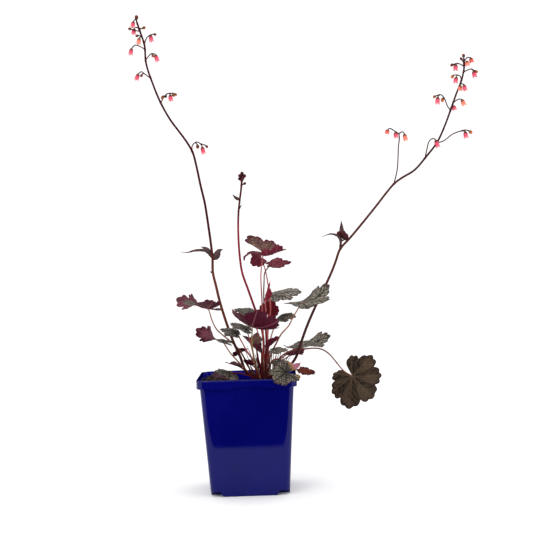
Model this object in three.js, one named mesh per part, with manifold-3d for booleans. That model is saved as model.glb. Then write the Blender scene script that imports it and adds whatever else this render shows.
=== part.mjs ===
// Heuchera (coral bells) in its square nursery pot, in millimetres.
// +Z is up, +X is to the right and +Y to the back. The origin is the centre of the pot's underside.
import * as THREE from 'three';
import { mergeVertices } from 'three/addons/utils/BufferGeometryUtils.js';
import Module from 'manifold-3d';

const wasm = await Module();
wasm.setup();

// ---- driving dimensions ----

const GAP = 0.35; // clearance between neighbouring pieces

const POT = {
  height: 125.6,
  foot: 85, // width across the underside
  mouth: 100.7, // width of the body just under the rim
  corner: 9, // corner radius
  wall: 1.2,
  rim: 108, // width across the rim band
  band: 9.3, // height of the rim band
  bandWall: 1.3,
  bevel: 0.8,
  slotWidth: 31, // shallow slot in the middle of the band's lower edge
  slotHeight: 1.6,
  stepHeight: 5.5, // drainage step cut from each bottom corner
  stepTop: 10.5,
  stepFoot: 14,
  drain: 3, // radius of the drainage holes
};

const SOIL = {
  level: 114,
  relief: 1,
  mound: 1.8, // rise about the crown
  moundRadius: 24,
  heap: { x: -38, y: 36, height: 8.5, radius: 15 }, // potting mix heaped at the back left
  cells: 10,
};

const CROWN = { x: 19, y: 2, bottom: 104, top: 120, radius: 13.5, sides: 14 };
const ROOT = { pitch: 2.15, depth: 6, turn: 137.5, lift: 9 }; // stalk bases, set on a spiral

const STALK = { sides: 5, base: 1.15, tip: 0.65, step: 12.5 };
const BLADE = { thickness: 0.8, teeth: 3, span: 330, lobeDepth: 0.16, toothDepth: 0.07 };
const SCAPE_STEP = 15;
const PEDICEL = { radius: 0.55, sides: 3, step: 8 };
const BELL = { waist: 2.3, mouth: 3.5, lobeGap: 0.68, sides: 10 };

const COLOURS = {
  pot: 0x10106e,
  soil: 0x2b1d14,
  crown: 0x5c2a22,
  silver: 0x8f8d80,
  burgundy: 0x6e2038,
  red: 0x7c1f2a,
  bronze: 0x3a322b,
  dry: 0x7a3a22,
  scape: 0x5a2228,
};

// ---- the leaves ----
// root: place on the crown's spiral. via: the petiole's route. at: where the blade joins it.
// tip: way the midrib runs. face: way the upper side looks. size: length of the middle lobe.
// cup, droop, twist: bend in degrees over one size, across, along and about the midrib.
// ruffle: margin wave as a share of size, with its number of waves and phase.
// heel: length of the lobes beside the petiole as a share of size.
// rear: bend of the part behind the petiole, where it isn't droop. wide: width as a share of the usual.

const LEAVES = [
  {
    name: 'leaf_top', tone: 'burgundy', root: 0,
    via: [[19, -3, 147], [19, -4, 175], [19, -4, 204], [19, -4, 238.8]], at: [23.2, -4, 259.1],
    tip: [0.8, -0.36, -0.48], face: [-0.4, -0.13, 0.91],
    size: 25.9, lobes: 7, heel: 1.1, wide: 0.81, rear: 26.9,
    cup: 65.4, droop: -108.9, twist: -83.5, ruffle: 0.06, waves: 3, phase: 0.4,
  },
  {
    name: 'leaf_top_left', tone: 'burgundy', root: 8,
    via: [[24, 5, 168], [28, 4, 197], [27, 7, 218], [23.1, 12, 243]], at: [18.5, 14, 254.5],
    tip: [-0.74, -0.61, -0.29], face: [0.26, 0.93, -0.26],
    size: 13.8, lobes: 5, heel: 0.46, wide: 1, rear: -135,
    cup: -30, droop: -23.5, twist: -67.8, ruffle: 0.08, waves: 3, phase: 1.9,
  },
  {
    name: 'leaf_top_right', tone: 'burgundy', root: 3,
    via: [[22, 1, 165], [21, 1, 208], [22, 0, 228], [23.4, -1, 238.6]], at: [30.8, -1, 246.8],
    tip: [0.99, -0.02, 0.14], face: [-0.12, 0.51, 0.85],
    size: 21.9, lobes: 5, heel: 0.15, rear: -25.7, wide: 0.57,
    cup: 22.2, droop: 5, twist: -23.3, ruffle: 0.06, waves: 4, phase: 0.2,
  },
  {
    name: 'leaf_young', tone: 'burgundy', root: 2,
    via: [[23, -7, 151], [24, -8, 180], [22.7, -9, 201.3]], at: [23.3, -9, 211.2],
    tip: [0.28, 0, 0.96], face: [0.95, -0.35, -0.2], size: 17, lobes: 5, heel: 0.3, wide: 0.6,
    cup: 120, droop: 0, twist: 0, ruffle: 0.05, waves: 4, phase: 0.9,
  },
  {
    name: 'leaf_upper_silver', tone: 'silver', root: 19,
    via: [[22, 16, 160], [25, 28, 186], [26, 36, 199]], at: [31, 38, 210.2],
    tip: [0.93, 0, 0.36], face: [-0.6, -0.25, 0.76], size: 31.9, lobes: 7, heel: 0.15, wide: 1, rear: 24.9,
    cup: -15, droop: 32.6, twist: 10.6, ruffle: 0.05, waves: 4, phase: 0.5,
  },
  {
    name: 'leaf_upper_red', tone: 'red', root: 16,
    via: [[23, 9, 157], [24, 13, 179]], at: [25.4, 14, 192.5],
    tip: [0.25, 0, 0.97], face: [0, -0.97, 0.2], size: 14.5, lobes: 5, heel: 0.6, wide: 1, rear: 10,
    cup: 15, droop: 10, twist: 0, ruffle: 0.08, waves: 3, phase: 2.2,
  },
  {
    name: 'leaf_right_silver', tone: 'silver', root: 5,
    via: [[26, -4, 145], [35, -6, 163], [39, -10, 170], [48, -16, 180], [52, -20, 188]],
    at: [62.5, -24, 203.2],
    tip: [0.89, 0.44, 0.13], face: [-0.58, -0.44, 0.69],
    size: 39.9, lobes: 7, heel: 0.5, rear: -49.8, wide: 0.56,
    cup: -26.4, droop: -45.1, twist: 30.5, ruffle: 0.05, waves: 4, phase: 0,
  },
  {
    name: 'leaf_right_inner', tone: 'silver', root: 11,
    via: [[24, 20, 151], [30, 27, 172]], at: [36.8, 34, 186],
    tip: [0.8, -0.4, 0.44], face: [-0.08, -0.34, 0.94],
    size: 19.6, lobes: 7, heel: 0.15, wide: 0.95, rear: 84.3,
    cup: -30, droop: 57.4, twist: 13.5, ruffle: 0.06, waves: 4, phase: 1.1,
  },
  {
    name: 'leaf_centre_burgundy', tone: 'burgundy', root: 28,
    via: [[10, -14, 137], [7.2, -22, 155.6], [7.1, -27, 167.9]], at: [7.9, -28, 180.1],
    tip: [0.04, -0.98, 0.17], face: [0.35, -0.24, 0.91],
    size: 40, lobes: 7, heel: 0.24, wide: 1, rear: -47.5,
    cup: 46.1, droop: -40, twist: 19.4, ruffle: 0.05, waves: 4, phase: 0.3,
  },
  {
    name: 'leaf_back_silver', tone: 'silver', root: 27,
    via: [[16, 27, 150], [12, 28, 173]], at: [5, 28, 193],
    tip: [-0.85, 0.1, 0.45], face: [0.3, -0.4, 0.85], size: 18, lobes: 5, heel: 0.5,
    cup: -20, droop: 35, twist: 0, ruffle: 0.06, waves: 3, phase: 0.8,
  },
  {
    name: 'leaf_midleft_silver', tone: 'silver', root: 9,
    via: [[9, 2, 139], [5, 4, 158]], at: [0.2, 4, 175.8],
    tip: [-0.87, 0.09, 0.48], face: [0.31, -0.32, 0.9],
    size: 19.3, lobes: 7, heel: 0.37, wide: 0.77, rear: -21.2,
    cup: -4.3, droop: 20.8, twist: 3.7, ruffle: 0.05, waves: 4, phase: 2.4,
  },
  {
    name: 'leaf_midleft_grey', tone: 'silver', root: 12,
    via: [[8, -9, 139], [0, -20, 155]], at: [-9.2, -30, 173.3],
    tip: [-0.88, -0.07, 0.48], face: [-0.11, -0.37, 0.92],
    size: 18.1, lobes: 7, heel: 0.15, wide: 0.77, rear: 30,
    cup: -14.4, droop: 33.2, twist: -3.9, ruffle: 0.05, waves: 4, phase: 1.5,
  },
  {
    name: 'leaf_left_upper', tone: 'burgundy', root: 30,
    via: [[-7, 5, 151], [-18, 7, 163], [-26, 5, 170], [-33, 0, 178], [-37, -5, 188]],
    at: [-40.8, -8.5, 201],
    tip: [-0.96, -0.13, 0.23], face: [0.43, 0.26, 0.87],
    size: 34.4, lobes: 7, heel: 0.44, wide: 1, rear: -99.2,
    cup: 31.6, droop: -12.1, twist: -91.5, ruffle: 0.05, waves: 3, phase: 0.5,
  },
  {
    name: 'leaf_left_lower', tone: 'burgundy', root: 25,
    via: [[-3, -12, 134], [-9, -18, 142], [-17, -23, 152]], at: [-25, -27, 165.2],
    tip: [-0.93, 0, 0.3], face: [0.1, -0.02, 1], size: 30, lobes: 7, heel: 0.32, wide: 0.85,
    cup: 5, droop: -20, twist: 100, ruffle: 0.04, waves: 3, phase: 1.2,
  },
  {
    name: 'leaf_pot_left', tone: 'silver', root: 20,
    via: [[6, -10, 124], [-8, -16, 129]], at: [-18.7, -20, 129.9],
    tip: [-0.69, -0.72, 0.1], face: [-0.01, -0.45, 0.89],
    size: 22.6, lobes: 7, heel: 0.26, wide: 0.97, rear: -16.2,
    cup: -16.8, droop: 39.2, twist: 28.2, ruffle: 0.08, waves: 4, phase: 0.7,
  },
  {
    name: 'leaf_low_left', tone: 'burgundy', root: 22,
    via: [[3, 12, 125], [-4, 14, 130]], at: [-10, 16, 134],
    tip: [-0.95, 0, 0.3], face: [0.3, 0, 0.95], size: 16, lobes: 5, heel: 0.4, wide: 1, rear: 0,
    cup: 25, droop: 0, twist: 0, ruffle: 0.05, waves: 4, phase: 0.1,
  },
  {
    name: 'leaf_pot_right', tone: 'silver', root: 23,
    via: [[26, -16, 125], [34, -34, 129], [39.7, -45, 129.1]], at: [42.2, -52, 132.1],
    tip: [-0.95, 0.0, 0.12], face: [0, -0.72, 0.7], size: 17.5, lobes: 7, heel: 1.05, rear: -40,
    cup: -10, droop: 15, twist: 0, ruffle: 0.1, waves: 4, phase: 0.5,
  },
  {
    name: 'leaf_dry', tone: 'dry', root: 18,
    via: [[34, -14, 125], [46, -25, 132], [53, -29, 132]], at: [58.6, -31, 131.3],
    tip: [0.97, 0.23, -0.06], face: [0.39, -0.41, 0.82],
    size: 16.9, lobes: 5, heel: 0.15, rear: 14.2, wide: 0.57,
    cup: -30, droop: 35.3, twist: 110, ruffle: 0.16, waves: 5, phase: 0.6,
  },
  {
    name: 'leaf_right_middle', tone: 'silver', root: 24,
    via: [[27, 22, 137], [40, 40, 140], [52, 45, 148]], at: [62.7, 44, 152.5],
    tip: [0.96, 0, 0.16], face: [-0.15, -0.15, 0.98], size: 34, lobes: 7, heel: 0.72, rear: -20, wide: 0.62,
    cup: 8, droop: -15, twist: 56, ruffle: 0.05, waves: 4, phase: 0.2,
  },
  {
    name: 'leaf_bronze', tone: 'bronze', root: 21,
    via: [[36, 3, 142], [49, 4, 150], [66, 2, 152], [81, -4, 152], [90, -7, 147], [106.4, -10, 127.1]],
    at: [115.2, -10, 121.2],
    tip: [0.64, -0.1, -0.74], face: [-0.15, -0.95, 0.1], size: 38.5, lobes: 7, heel: 0.45,
    cup: -10, droop: 48, twist: 0, ruffle: 0.05, waves: 4, phase: 3.4,
  },
  {
    name: 'leaf_low_right', tone: 'burgundy', root: 29,
    via: [[31, 9, 131], [38, 20, 137]], at: [48.5, 24, 143.6],
    tip: [0.94, -0.33, 0.13], face: [0.15, 0.11, 0.98],
    size: 17.2, lobes: 7, heel: 0.16, rear: -140, wide: 0.77,
    cup: 85.1, droop: -22.4, twist: -66.7, ruffle: 0.07, waves: 4, phase: 1.6,
  },
  {
    name: 'leaf_low_right_back', tone: 'burgundy', root: 26,
    via: [[29, -8, 130]], at: [33.4, -14, 141],
    tip: [0.45, -0.89, 0.03], face: [-0.01, -0.58, 0.82],
    size: 10, lobes: 5, heel: 0.67, wide: 0.9, rear: -24.6,
    cup: -30, droop: 35.1, twist: -0.8, ruffle: 0.06, waves: 4, phase: 0.9,
  },
  {
    name: 'leaf_inner_right', tone: 'burgundy', root: 15,
    via: [[21, -10, 144]], at: [25, -14, 158],
    tip: [0.75, 0, 0.65], face: [-0.6, -0.5, 0.6], size: 14, lobes: 5, heel: 0.3, rear: 0, wide: 0.6,
    cup: 110, droop: 0, twist: 0, ruffle: 0.05, waves: 4, phase: 0.4,
  },
  {
    name: 'leaf_inner_low_left', tone: 'burgundy', root: 4,
    via: [[11, -3, 131]], at: [5.5, -3.5, 136.5],
    tip: [-0.89, -0.14, 0.43], face: [0.27, 0.45, 0.85],
    size: 11, lobes: 5, heel: 0.17, wide: 0.86, rear: -22,
    cup: 90, droop: -20, twist: 15, ruffle: 0.06, waves: 4, phase: 2.1,
  },
  {
    name: 'leaf_inner_left', tone: 'burgundy', root: 14,
    via: [[8, 14, 138]], at: [-2.9, 20, 151],
    tip: [-0.92, 0.04, -0.39], face: [0.21, 0.1, 0.97],
    size: 14, lobes: 5, heel: 0.15, wide: 0.97, rear: -2.6,
    cup: 60.5, droop: 3.2, twist: 33.9, ruffle: 0.05, waves: 4, phase: 0.4,
  },
  {
    name: 'leaf_inner_centre', tone: 'burgundy', root: 7,
    via: [[12, -5, 144]], at: [11, -7, 163],
    tip: [0.1, 0, 0.99], face: [0, -1, 0], size: 9, lobes: 5, heel: 0.4,
    cup: 40, droop: 0, twist: 0, ruffle: 0.05, waves: 4, phase: 1.4,
  },
  {
    name: 'leaf_inner_back', tone: 'burgundy', root: 6,
    via: [[13, 11, 140]], at: [11, 13.7, 152],
    tip: [-0.7, 0, 0.7], face: [0.6, 0.1, 0.7], size: 21, lobes: 5, heel: 0.2,
    cup: 110, droop: 0, twist: 0, ruffle: 0.05, waves: 4, phase: 0.7,
  },
  {
    name: 'leaf_low_right_silver', tone: 'silver', root: 10,
    via: [[23, -10, 141]], at: [31.6, -25, 154.4],
    tip: [0.96, -0.25, 0.1], face: [-0.25, -0.24, 0.94], size: 13, lobes: 5, heel: 0.58, wide: 1, rear: 0.2,
    cup: -21.9, droop: 24.1, twist: -1.9, ruffle: 0.07, waves: 4, phase: 1.3,
  },
];

// ---- the flowering stems ----
// route: the stem from above the crown to its tip. base, tip: its radius at both ends.
// flowers: each on a stalk that starts inside the stem or an earlier stalk and ends at the flower.
// bracts: each a ribbon along a route, with its half width at the middle.

const SCAPES = [
  {
    name: 'scape_left', root: 17, base: 1.5, tip: 0.95,
    route: [
      [-1, -4, 129], [-7, -5, 146], [-14, -6, 163], [-20, -6, 181], [-27, -6, 206], [-31, -6, 225],
      [-34, -5, 240], [-34, -4, 256], [-35, -3, 269], [-37, 0, 287], [-41, 4, 318], [-45, 6, 337],
      [-48.9, 8.5, 358.1], [-52.6, 10, 374], [-58.4, 10.7, 385.5],
      [-67, 12, 398.2], [-76.7, 12.8, 412.1], [-86.4, 14, 430.5], [-93.6, 14.7, 448.8],
      [-102, 15, 477], [-103, 15, 497], [-107, 15, 511], [-111, 15, 524],
    ],
    flowers: [
      { kind: 'bud', stalk: [[-110, 15, 522], [-111, 15, 526]], way: [0, 0, 1], length: 5.5 },
      {
        kind: 'bell', stalk: [[-110, 15, 523], [-112, 13, 526], [-114, 12, 524]],
        way: [-0.2, 0, -1], length: 8,
      },
      {
        kind: 'bell', stalk: [[-108, 15, 515], [-112, 17, 518], [-114, 17, 517]],
        way: [-0.2, 0, -1], length: 7.5,
      },
      {
        kind: 'bud', stalk: [[-108, 15, 513], [-113, 14, 514], [-117, 13, 515]],
        way: [-1, 0, 0.3], length: 4,
      },
      { kind: 'bud', stalk: [[-108, 15, 514], [-105, 15, 516]], way: [1, 0, 0.4], length: 4.5 },
      { kind: 'bud', stalk: [[-106, 15, 507], [-109, 13, 508]], way: [-1, 0, -0.3], length: 4 },
      {
        kind: 'bell', stalk: [[-104, 15, 502], [-106, 12, 506], [-108, 11, 505]],
        way: [-0.2, 0, -1], length: 8,
      },
      {
        kind: 'bell', stalk: [[-103, 15, 499], [-100, 16, 506], [-96, 17, 509]],
        way: [0.1, 0, -1], length: 8.5,
      },
      { kind: 'bud', stalk: [[-97, 17, 508], [-93, 18, 510]], way: [1, 0, -0.3], length: 4 },
      {
        kind: 'bell', stalk: [[-102, 15, 492], [-107, 13, 495], [-113, 12, 497], [-117, 12, 494]],
        way: [-0.25, 0, -1], length: 8.5,
      },
      {
        kind: 'bell', stalk: [[-102, 15, 480], [-98, 13, 485], [-95, 12, 487], [-91, 12, 486]],
        way: [0.3, 0, -1], length: 9,
      },
      { kind: 'bud', stalk: [[-95, 12, 487], [-94, 11, 486]], way: [0.2, 0, -1], length: 4 },
      {
        kind: 'bell', stalk: [[-98, 15, 459], [-104, 16, 465], [-108, 17, 468], [-111, 17, 466]],
        way: [-0.4, 0, -1], length: 8.5,
      },
      { kind: 'bud', stalk: [[-105, 16, 466], [-107, 15, 465]], way: [-0.3, 0, -1], length: 4 },
      {
        kind: 'bell', stalk: [[-87, 14, 433], [-82, 13, 439], [-78, 13, 442], [-76, 13, 441]],
        way: [0.1, 0, -1], length: 8.5,
      },
      { kind: 'bud', stalk: [[-83, 13, 438], [-84, 10, 439]], way: [-0.2, 0, -1], length: 4.5 },
      { kind: 'bud', stalk: [[-79, 13, 441], [-81, 15, 441]], way: [-0.1, 0, -1], length: 4 },
      { kind: 'bud', stalk: [[-78, 13, 442], [-73, 14, 442]], way: [0.4, 0, -1], length: 4.5 },
      { kind: 'bud', stalk: [[-74, 14, 442], [-71, 16, 442]], way: [0.7, 0, -0.7], length: 3.5 },
      {
        kind: 'bell', stalk: [[-53, 10, 376], [-53, 9, 382], [-48, 8, 386], [-44, 8, 384], [-42, 8, 381]],
        way: [0.2, 0, -1], length: 9.5,
      },
      { kind: 'bud', stalk: [[-49, 8, 385], [-47, 7, 383]], way: [0.1, 0, -1], length: 5 },
      { kind: 'bud', stalk: [[-44, 8, 384], [-38, 9, 382]], way: [0.6, 0, -0.7], length: 4 },
    ],
    bracts: [
      {
        route: [[-34, -4, 256], [-41, -5, 264], [-52, -8, 265], [-62, -9, 263], [-68, -9, 264]],
        half: 1.6,
      },
      { route: [[-34, -4, 257], [-40, -3, 266], [-47, 1, 269]], half: 2.6 },
      { route: [[-34, -4, 256], [-30, -6, 258], [-26, -6, 264], [-22, -5, 265]], half: 4 },
      { route: [[-34, -5, 240], [-37, -6, 241]], half: 1.2 },
    ],
  },
  {
    name: 'scape_centre', root: 1, base: 1.35, tip: 1,
    route: [
      [18, 6, 140], [19, 8, 163], [16, 9, 183], [11, 10, 197], [4, 10, 219], [-2, 10, 238],
      [-4, 10, 253], [-5, 9, 281], [-4, 8, 305], [-2, 8, 320], [0.1, 8, 333.5], [1.3, 8, 345.2],
    ],
    flowers: [
      { kind: 'bud', stalk: [[1.4, 8, 343.9], [1.4, 8, 346.1]], way: [0, 0, 1], length: 5.5 },
      { kind: 'bud', stalk: [[1.1, 8, 342.5], [0.4, 7.5, 344.5]], way: [-0.6, -0.3, 0.8], length: 5 },
      { kind: 'bud', stalk: [[1.1, 8, 342.5], [2.2, 8, 344.5]], way: [0.7, -0.2, 0.7], length: 5 },
      { kind: 'bud', stalk: [[0.8, 8, 340.8], [0.3, 8.5, 342.4]], way: [-0.8, 0.4, 0.35], length: 4.5 },
      { kind: 'bud', stalk: [[1.1, 8, 341.4], [1.5, 7, 342.7]], way: [0.3, -0.9, 0.35], length: 5 },
      { kind: 'bud', stalk: [[0.6, 8, 335.8], [2.4, 7.5, 336.9]], way: [0.8, -0.2, 0.45], length: 4 },
    ],
    bracts: [
      { route: [[-2, 8, 320], [-6, 7, 322], [-10, 7, 326]], half: 1.8 },
      { route: [[-4, 8, 309], [-2, 7, 312], [0, 7, 314]], half: 1.2 },
    ],
  },
  {
    name: 'scape_right', root: 13, base: 1.5, tip: 0.9,
    route: [
      [39, 0, 127], [53, -2, 141], [59, 0, 155], [67, 3, 175], [77, 7, 196], [85, 9, 211], [98, 10, 237],
      [103, 10, 249], [107.7, 9, 260.9], [119.8, 8.6, 273.8],
      [135.5, 8, 291.5], [150.3, 7.2, 308.8], [161.9, 6.5, 322.8],
      [170.7, 6, 332.3], [179, 5, 338], [193, 4, 346], [206, 3, 360],
      [219, 2, 376], [228, 2, 394], [234, 1, 409], [241, 1, 427],
      [248, 0, 444], [251, 0, 457], [251, 0, 467],
    ],
    flowers: [
      { kind: 'bud', stalk: [[251, 0, 465], [251, 0, 468]], way: [-0.1, 0, 1], length: 4.5 },
      { kind: 'bud', stalk: [[251, 0, 462], [249, -1, 465]], way: [-0.6, 0, 0.8], length: 4 },
      { kind: 'bell', stalk: [[251, 0, 463], [255, 1, 468], [259, 2, 468]], way: [0.2, 0, -1], length: 6 },
      { kind: 'bell', stalk: [[251, 0, 461], [254, -2, 464]], way: [0.1, 0, -1], length: 6 },
      {
        kind: 'bud', stalk: [[250, 0, 457], [247, 1, 461], [243, 1, 462], [240, 1, 461]],
        way: [-1, 0, -0.3], length: 4.5,
      },
      { kind: 'bell', stalk: [[244, 1, 462], [242, 0, 461]], way: [-0.1, 0, -1], length: 7.5 },
      {
        kind: 'bell', stalk: [[251, 0, 453], [255, -1, 454], [258, -1, 455], [261, -1, 453]],
        way: [0.2, 0, -1], length: 8,
      },
      { kind: 'bud', stalk: [[258, -1, 455], [263, 0, 453]], way: [0.8, 0, -0.5], length: 4 },
      {
        kind: 'bud', stalk: [[248, 0, 444], [246, 0, 448], [243, 0, 449], [239, 0, 449]],
        way: [-0.6, 0, -0.8], length: 4.5,
      },
      { kind: 'bell', stalk: [[244, 0, 448], [242, -1, 447]], way: [-0.2, 0, -1], length: 7.5 },
      { kind: 'bell', stalk: [[247, 0, 440], [246, 0, 438]], way: [-0.1, 0.2, -1], length: 7 },
      { kind: 'bell', stalk: [[246, 0, 439], [250, -2, 438]], way: [0.1, -0.1, -1], length: 7.5 },
      {
        kind: 'bell', stalk: [[234, 1, 409], [231, 1, 416], [228, 0, 424], [224, 0, 428], [221, 0, 426]],
        way: [-0.1, 0, -1], length: 9,
      },
      { kind: 'bud', stalk: [[224, 0, 427], [219, 1, 427]], way: [-0.8, 0, -0.5], length: 4 },
      { kind: 'bud', stalk: [[228, 0, 424], [226, -1, 424]], way: [-0.1, 0, -1], length: 5 },
      { kind: 'bell', stalk: [[238, 1, 419], [243, 0, 422], [247, -1, 422]], way: [0.4, 0, -1], length: 8 },
      { kind: 'bell', stalk: [[235, 1, 413], [238, 2, 416]], way: [0.3, 0, -1], length: 6 },
      {
        kind: 'bell', stalk: [[219, 2, 375], [226, 2, 377], [236, 2, 384], [245, 1, 387], [250, 1, 387]],
        way: [0.1, 0, -1], length: 8.5,
      },
      { kind: 'bud', stalk: [[245, 1, 387], [250, 0, 388], [254, 0, 387]], way: [0.7, 0, -0.6], length: 5 },
      {
        kind: 'bell', stalk: [[205, 3, 359], [207, 3, 367], [210, 2, 377], [214, 2, 380], [217, 2, 379]],
        way: [0.3, 0, -1], length: 10,
      },
      {
        kind: 'bell',
        stalk: [
          [171, 6, 331], [174, 6, 347], [176, 5, 371], [177, 4, 386], [172, 3, 390], [167, 3, 393],
          [165, 3, 392],
        ],
        way: [-0.3, 0, -1], length: 5.5,
      },
      { kind: 'bell', stalk: [[173, 3, 390], [173, 2, 389]], way: [0.1, 0, -1], length: 7.5 },
      { kind: 'bell', stalk: [[177, 4, 386], [181, 4, 389], [183, 4, 387]], way: [0.2, 0, -1], length: 9 },
      {
        kind: 'bud', stalk: [[107.5, 9, 261.3], [109.6, 9, 269.1], [108.7, 9.5, 274.5]],
        way: [-0.4, 0.1, 1], length: 7.5,
      },
      { kind: 'bud', stalk: [[109.6, 9, 269.1], [111, 8.5, 274.8]], way: [0.15, -0.3, 1], length: 8 },
      { kind: 'bud', stalk: [[109.6, 9, 269.1], [112.5, 8.5, 271.2]], way: [0.45, -0.1, 1], length: 8.5 },
      { kind: 'bud', stalk: [[109.6, 9, 269.1], [113.3, 9.5, 271.8]], way: [1, 0.2, 0.3], length: 5.5 },
    ],
    bracts: [
      {
        route: [[107.6, 9, 262.4], [108.6, 8, 270.2], [105.3, 6, 276], [97.5, 4, 278.3], [87.9, 3, 275.5]],
        half: 1.4,
      },
      { route: [[110.2, 9, 273.5], [110.3, 9, 283.5], [110.2, 9, 293]], half: 2.7 },
    ],
  },
];

// ---- solids and meshes ----

const vec = (p) => new THREE.Vector3(...p);
const rad = THREE.MathUtils.degToRad;

function solidOf(geometry) {
  const bare = geometry.clone();
  bare.deleteAttribute('normal');
  bare.deleteAttribute('uv');
  const merged = mergeVertices(bare, 1e-4);
  const triangles = [];
  for (let i = 0; i < merged.index.count; i += 3) {
    const [a, b, c] = [0, 1, 2].map((k) => merged.index.getX(i + k));
    if (a !== b && b !== c && c !== a) triangles.push(a, b, c);
  }
  return new wasm.Manifold(new wasm.Mesh({
    numProp: 3,
    vertProperties: new Float32Array(merged.attributes.position.array),
    triVerts: new Uint32Array(triangles),
  }));
}

function geometryOf(solid) {
  const mesh = solid.getMesh();
  const geometry = new THREE.BufferGeometry();
  geometry.setAttribute('position', new THREE.BufferAttribute(new Float32Array(mesh.vertProperties), 3));
  geometry.setIndex(new THREE.BufferAttribute(new Uint32Array(mesh.triVerts), 1));
  geometry.computeVertexNormals();
  return geometry;
}

// A closed body through rings of equal count, each listed anticlockwise seen from the last ring.
function loft(rings) {
  const count = rings[0].length;
  const last = (rings.length - 1) * count;
  const index = [];
  for (let r = 0; r < rings.length - 1; r += 1) {
    for (let i = 0; i < count; i += 1) {
      const a = r * count + i;
      const b = r * count + (i + 1) % count;
      index.push(a, b, b + count, a, b + count, a + count);
    }
  }
  for (let i = 1; i < count - 1; i += 1) {
    index.push(0, i + 1, i);
    index.push(last, last + i, last + i + 1);
  }
  const geometry = new THREE.BufferGeometry();
  const points = rings.flat().flatMap((p) => [...p]);
  geometry.setAttribute('position', new THREE.Float32BufferAttribute(points, 3));
  geometry.setIndex(index);
  return solidOf(geometry);
}

function ngon(sides) {
  const shape = new THREE.Shape();
  for (let i = 0; i < sides; i += 1) {
    const angle = 2 * Math.PI * i / sides;
    shape[i ? 'lineTo' : 'moveTo'](Math.cos(angle), Math.sin(angle));
  }
  return shape;
}

const curve = (route) => new THREE.CatmullRomCurve3(route, false, 'centripetal');

// Even stations along a smooth curve through a route.
function stations(route, stepLength) {
  const path = curve(route);
  return path.getSpacedPoints(Math.max(1, Math.round(path.getLength() / stepLength)));
}

// A tube's axis: straight stretches between its stations.
class Axis extends THREE.Curve {
  constructor(points) {
    super();
    this.points = points;
    this.last = points.length - 1;
  }

  getPointAt(u) {
    return this.points[Math.round(u * this.last)].clone();
  }

  getTangentAt(u) {
    const i = Math.round(u * this.last);
    return this.points[Math.min(i + 1, this.last)].clone().sub(this.points[Math.max(i - 1, 0)]).normalize();
  }
}

// Closely spaced points on the straight stretches between stations.
function alongAxis(centres) {
  const fifths = [0, 0.2, 0.4, 0.6, 0.8, 1];
  return centres.slice(1).flatMap((end, i) => fifths.map((t) => centres[i].clone().lerp(end, t)));
}

// A tube through its stations, drawn in evenly from its first radius to its last.
function taperedTube(centres, first, last, sides) {
  const steps = centres.length - 1;
  const extrudePath = new Axis(centres);
  const geometry = new THREE.ExtrudeGeometry(ngon(sides), { steps, bevelEnabled: false, extrudePath });
  const position = geometry.attributes.position;
  const p = new THREE.Vector3();
  for (let i = 0; i < position.count; i += 1) {
    p.fromBufferAttribute(position, i);
    let nearest = 0;
    centres.forEach((centre, k) => {
      if (centre.distanceTo(p) < centres[nearest].distanceTo(p)) nearest = k;
    });
    const radius = THREE.MathUtils.lerp(first, last, nearest / steps);
    p.sub(centres[nearest]).multiplyScalar(radius).add(centres[nearest]);
    position.setXYZ(i, p.x, p.y, p.z);
  }
  return solidOf(geometry);
}

// ---- the pot and the soil ----

function squareRing(width, radius, z, x = 0, y = 0) {
  const inset = width / 2 - radius;
  const ring = [];
  for (const [sx, sy, start] of [[1, 1, 0], [-1, 1, 90], [-1, -1, 180], [1, -1, 270]]) {
    for (let angle = start; angle <= start + 90; angle += 30) {
      ring.push(new THREE.Vector3(
        x + sx * inset + radius * Math.cos(rad(angle)),
        y + sy * inset + radius * Math.sin(rad(angle)),
        z,
      ));
    }
  }
  return ring;
}

// The body's outline drawn in by an inset, between two heights, with its drainage steps cut out.
function potCore(inset, bottom, top) {
  const bandFoot = POT.height - POT.band;
  const widthAt = (z) => THREE.MathUtils.mapLinear(z, 0, bandFoot, POT.foot, POT.mouth) - 2 * inset;
  const ringAt = (z) => squareRing(widthAt(z), POT.corner - inset, z);
  let core = loft([ringAt(bottom), ringAt(top)]);
  for (const [sx, sy] of [[1, 1], [-1, 1], [-1, -1], [1, -1]]) {
    const step = (half, z) => squareRing(2 * (half + inset), 1, z, sx * POT.foot / 2, sy * POT.foot / 2);
    core = core.subtract(loft([step(POT.stepFoot + 1, -2), step(POT.stepTop, POT.stepHeight + inset)]));
  }
  return core;
}

function drainHoles() {
  const place = POT.foot / 2 - POT.stepTop * 0.62;
  const drill = new THREE.CylinderGeometry(POT.drain, POT.drain, 4 * POT.wall, 12).rotateX(Math.PI / 2);
  const holes = [[1, 1], [-1, 1], [-1, -1], [1, -1]].map(([sx, sy]) => (
    solidOf(drill.clone().translate(sx * place, sy * place, POT.stepHeight + POT.wall / 2))));
  return holes.reduce((all, hole) => all.add(hole));
}

function makePot() {
  const { height, rim, band, bandWall, bevel, corner } = POT;
  const bandFoot = height - band;
  const ring = (width, z) => squareRing(width, corner + (width - POT.mouth) / 2, z);
  const outside = loft([ring(rim, bandFoot), ring(rim, height - bevel), ring(rim - 2 * bevel, height)]);
  const under = loft([ring(rim - 2 * bandWall, bandFoot - 1), ring(rim - 2 * bandWall, height - bandWall)]);
  let pot = outside.subtract(under).add(potCore(0, 0, height - bandWall / 2));
  pot = pot.subtract(potCore(POT.wall, POT.wall, height + 1)).subtract(drainHoles());
  const slot = new THREE.BoxGeometry(POT.slotWidth, 3 * bandWall, 2 * POT.slotHeight);
  for (const side of [-1, 1]) {
    pot = pot.subtract(solidOf(slot.clone().translate(0, side * rim / 2, bandFoot)));
  }
  return pot;
}

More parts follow.
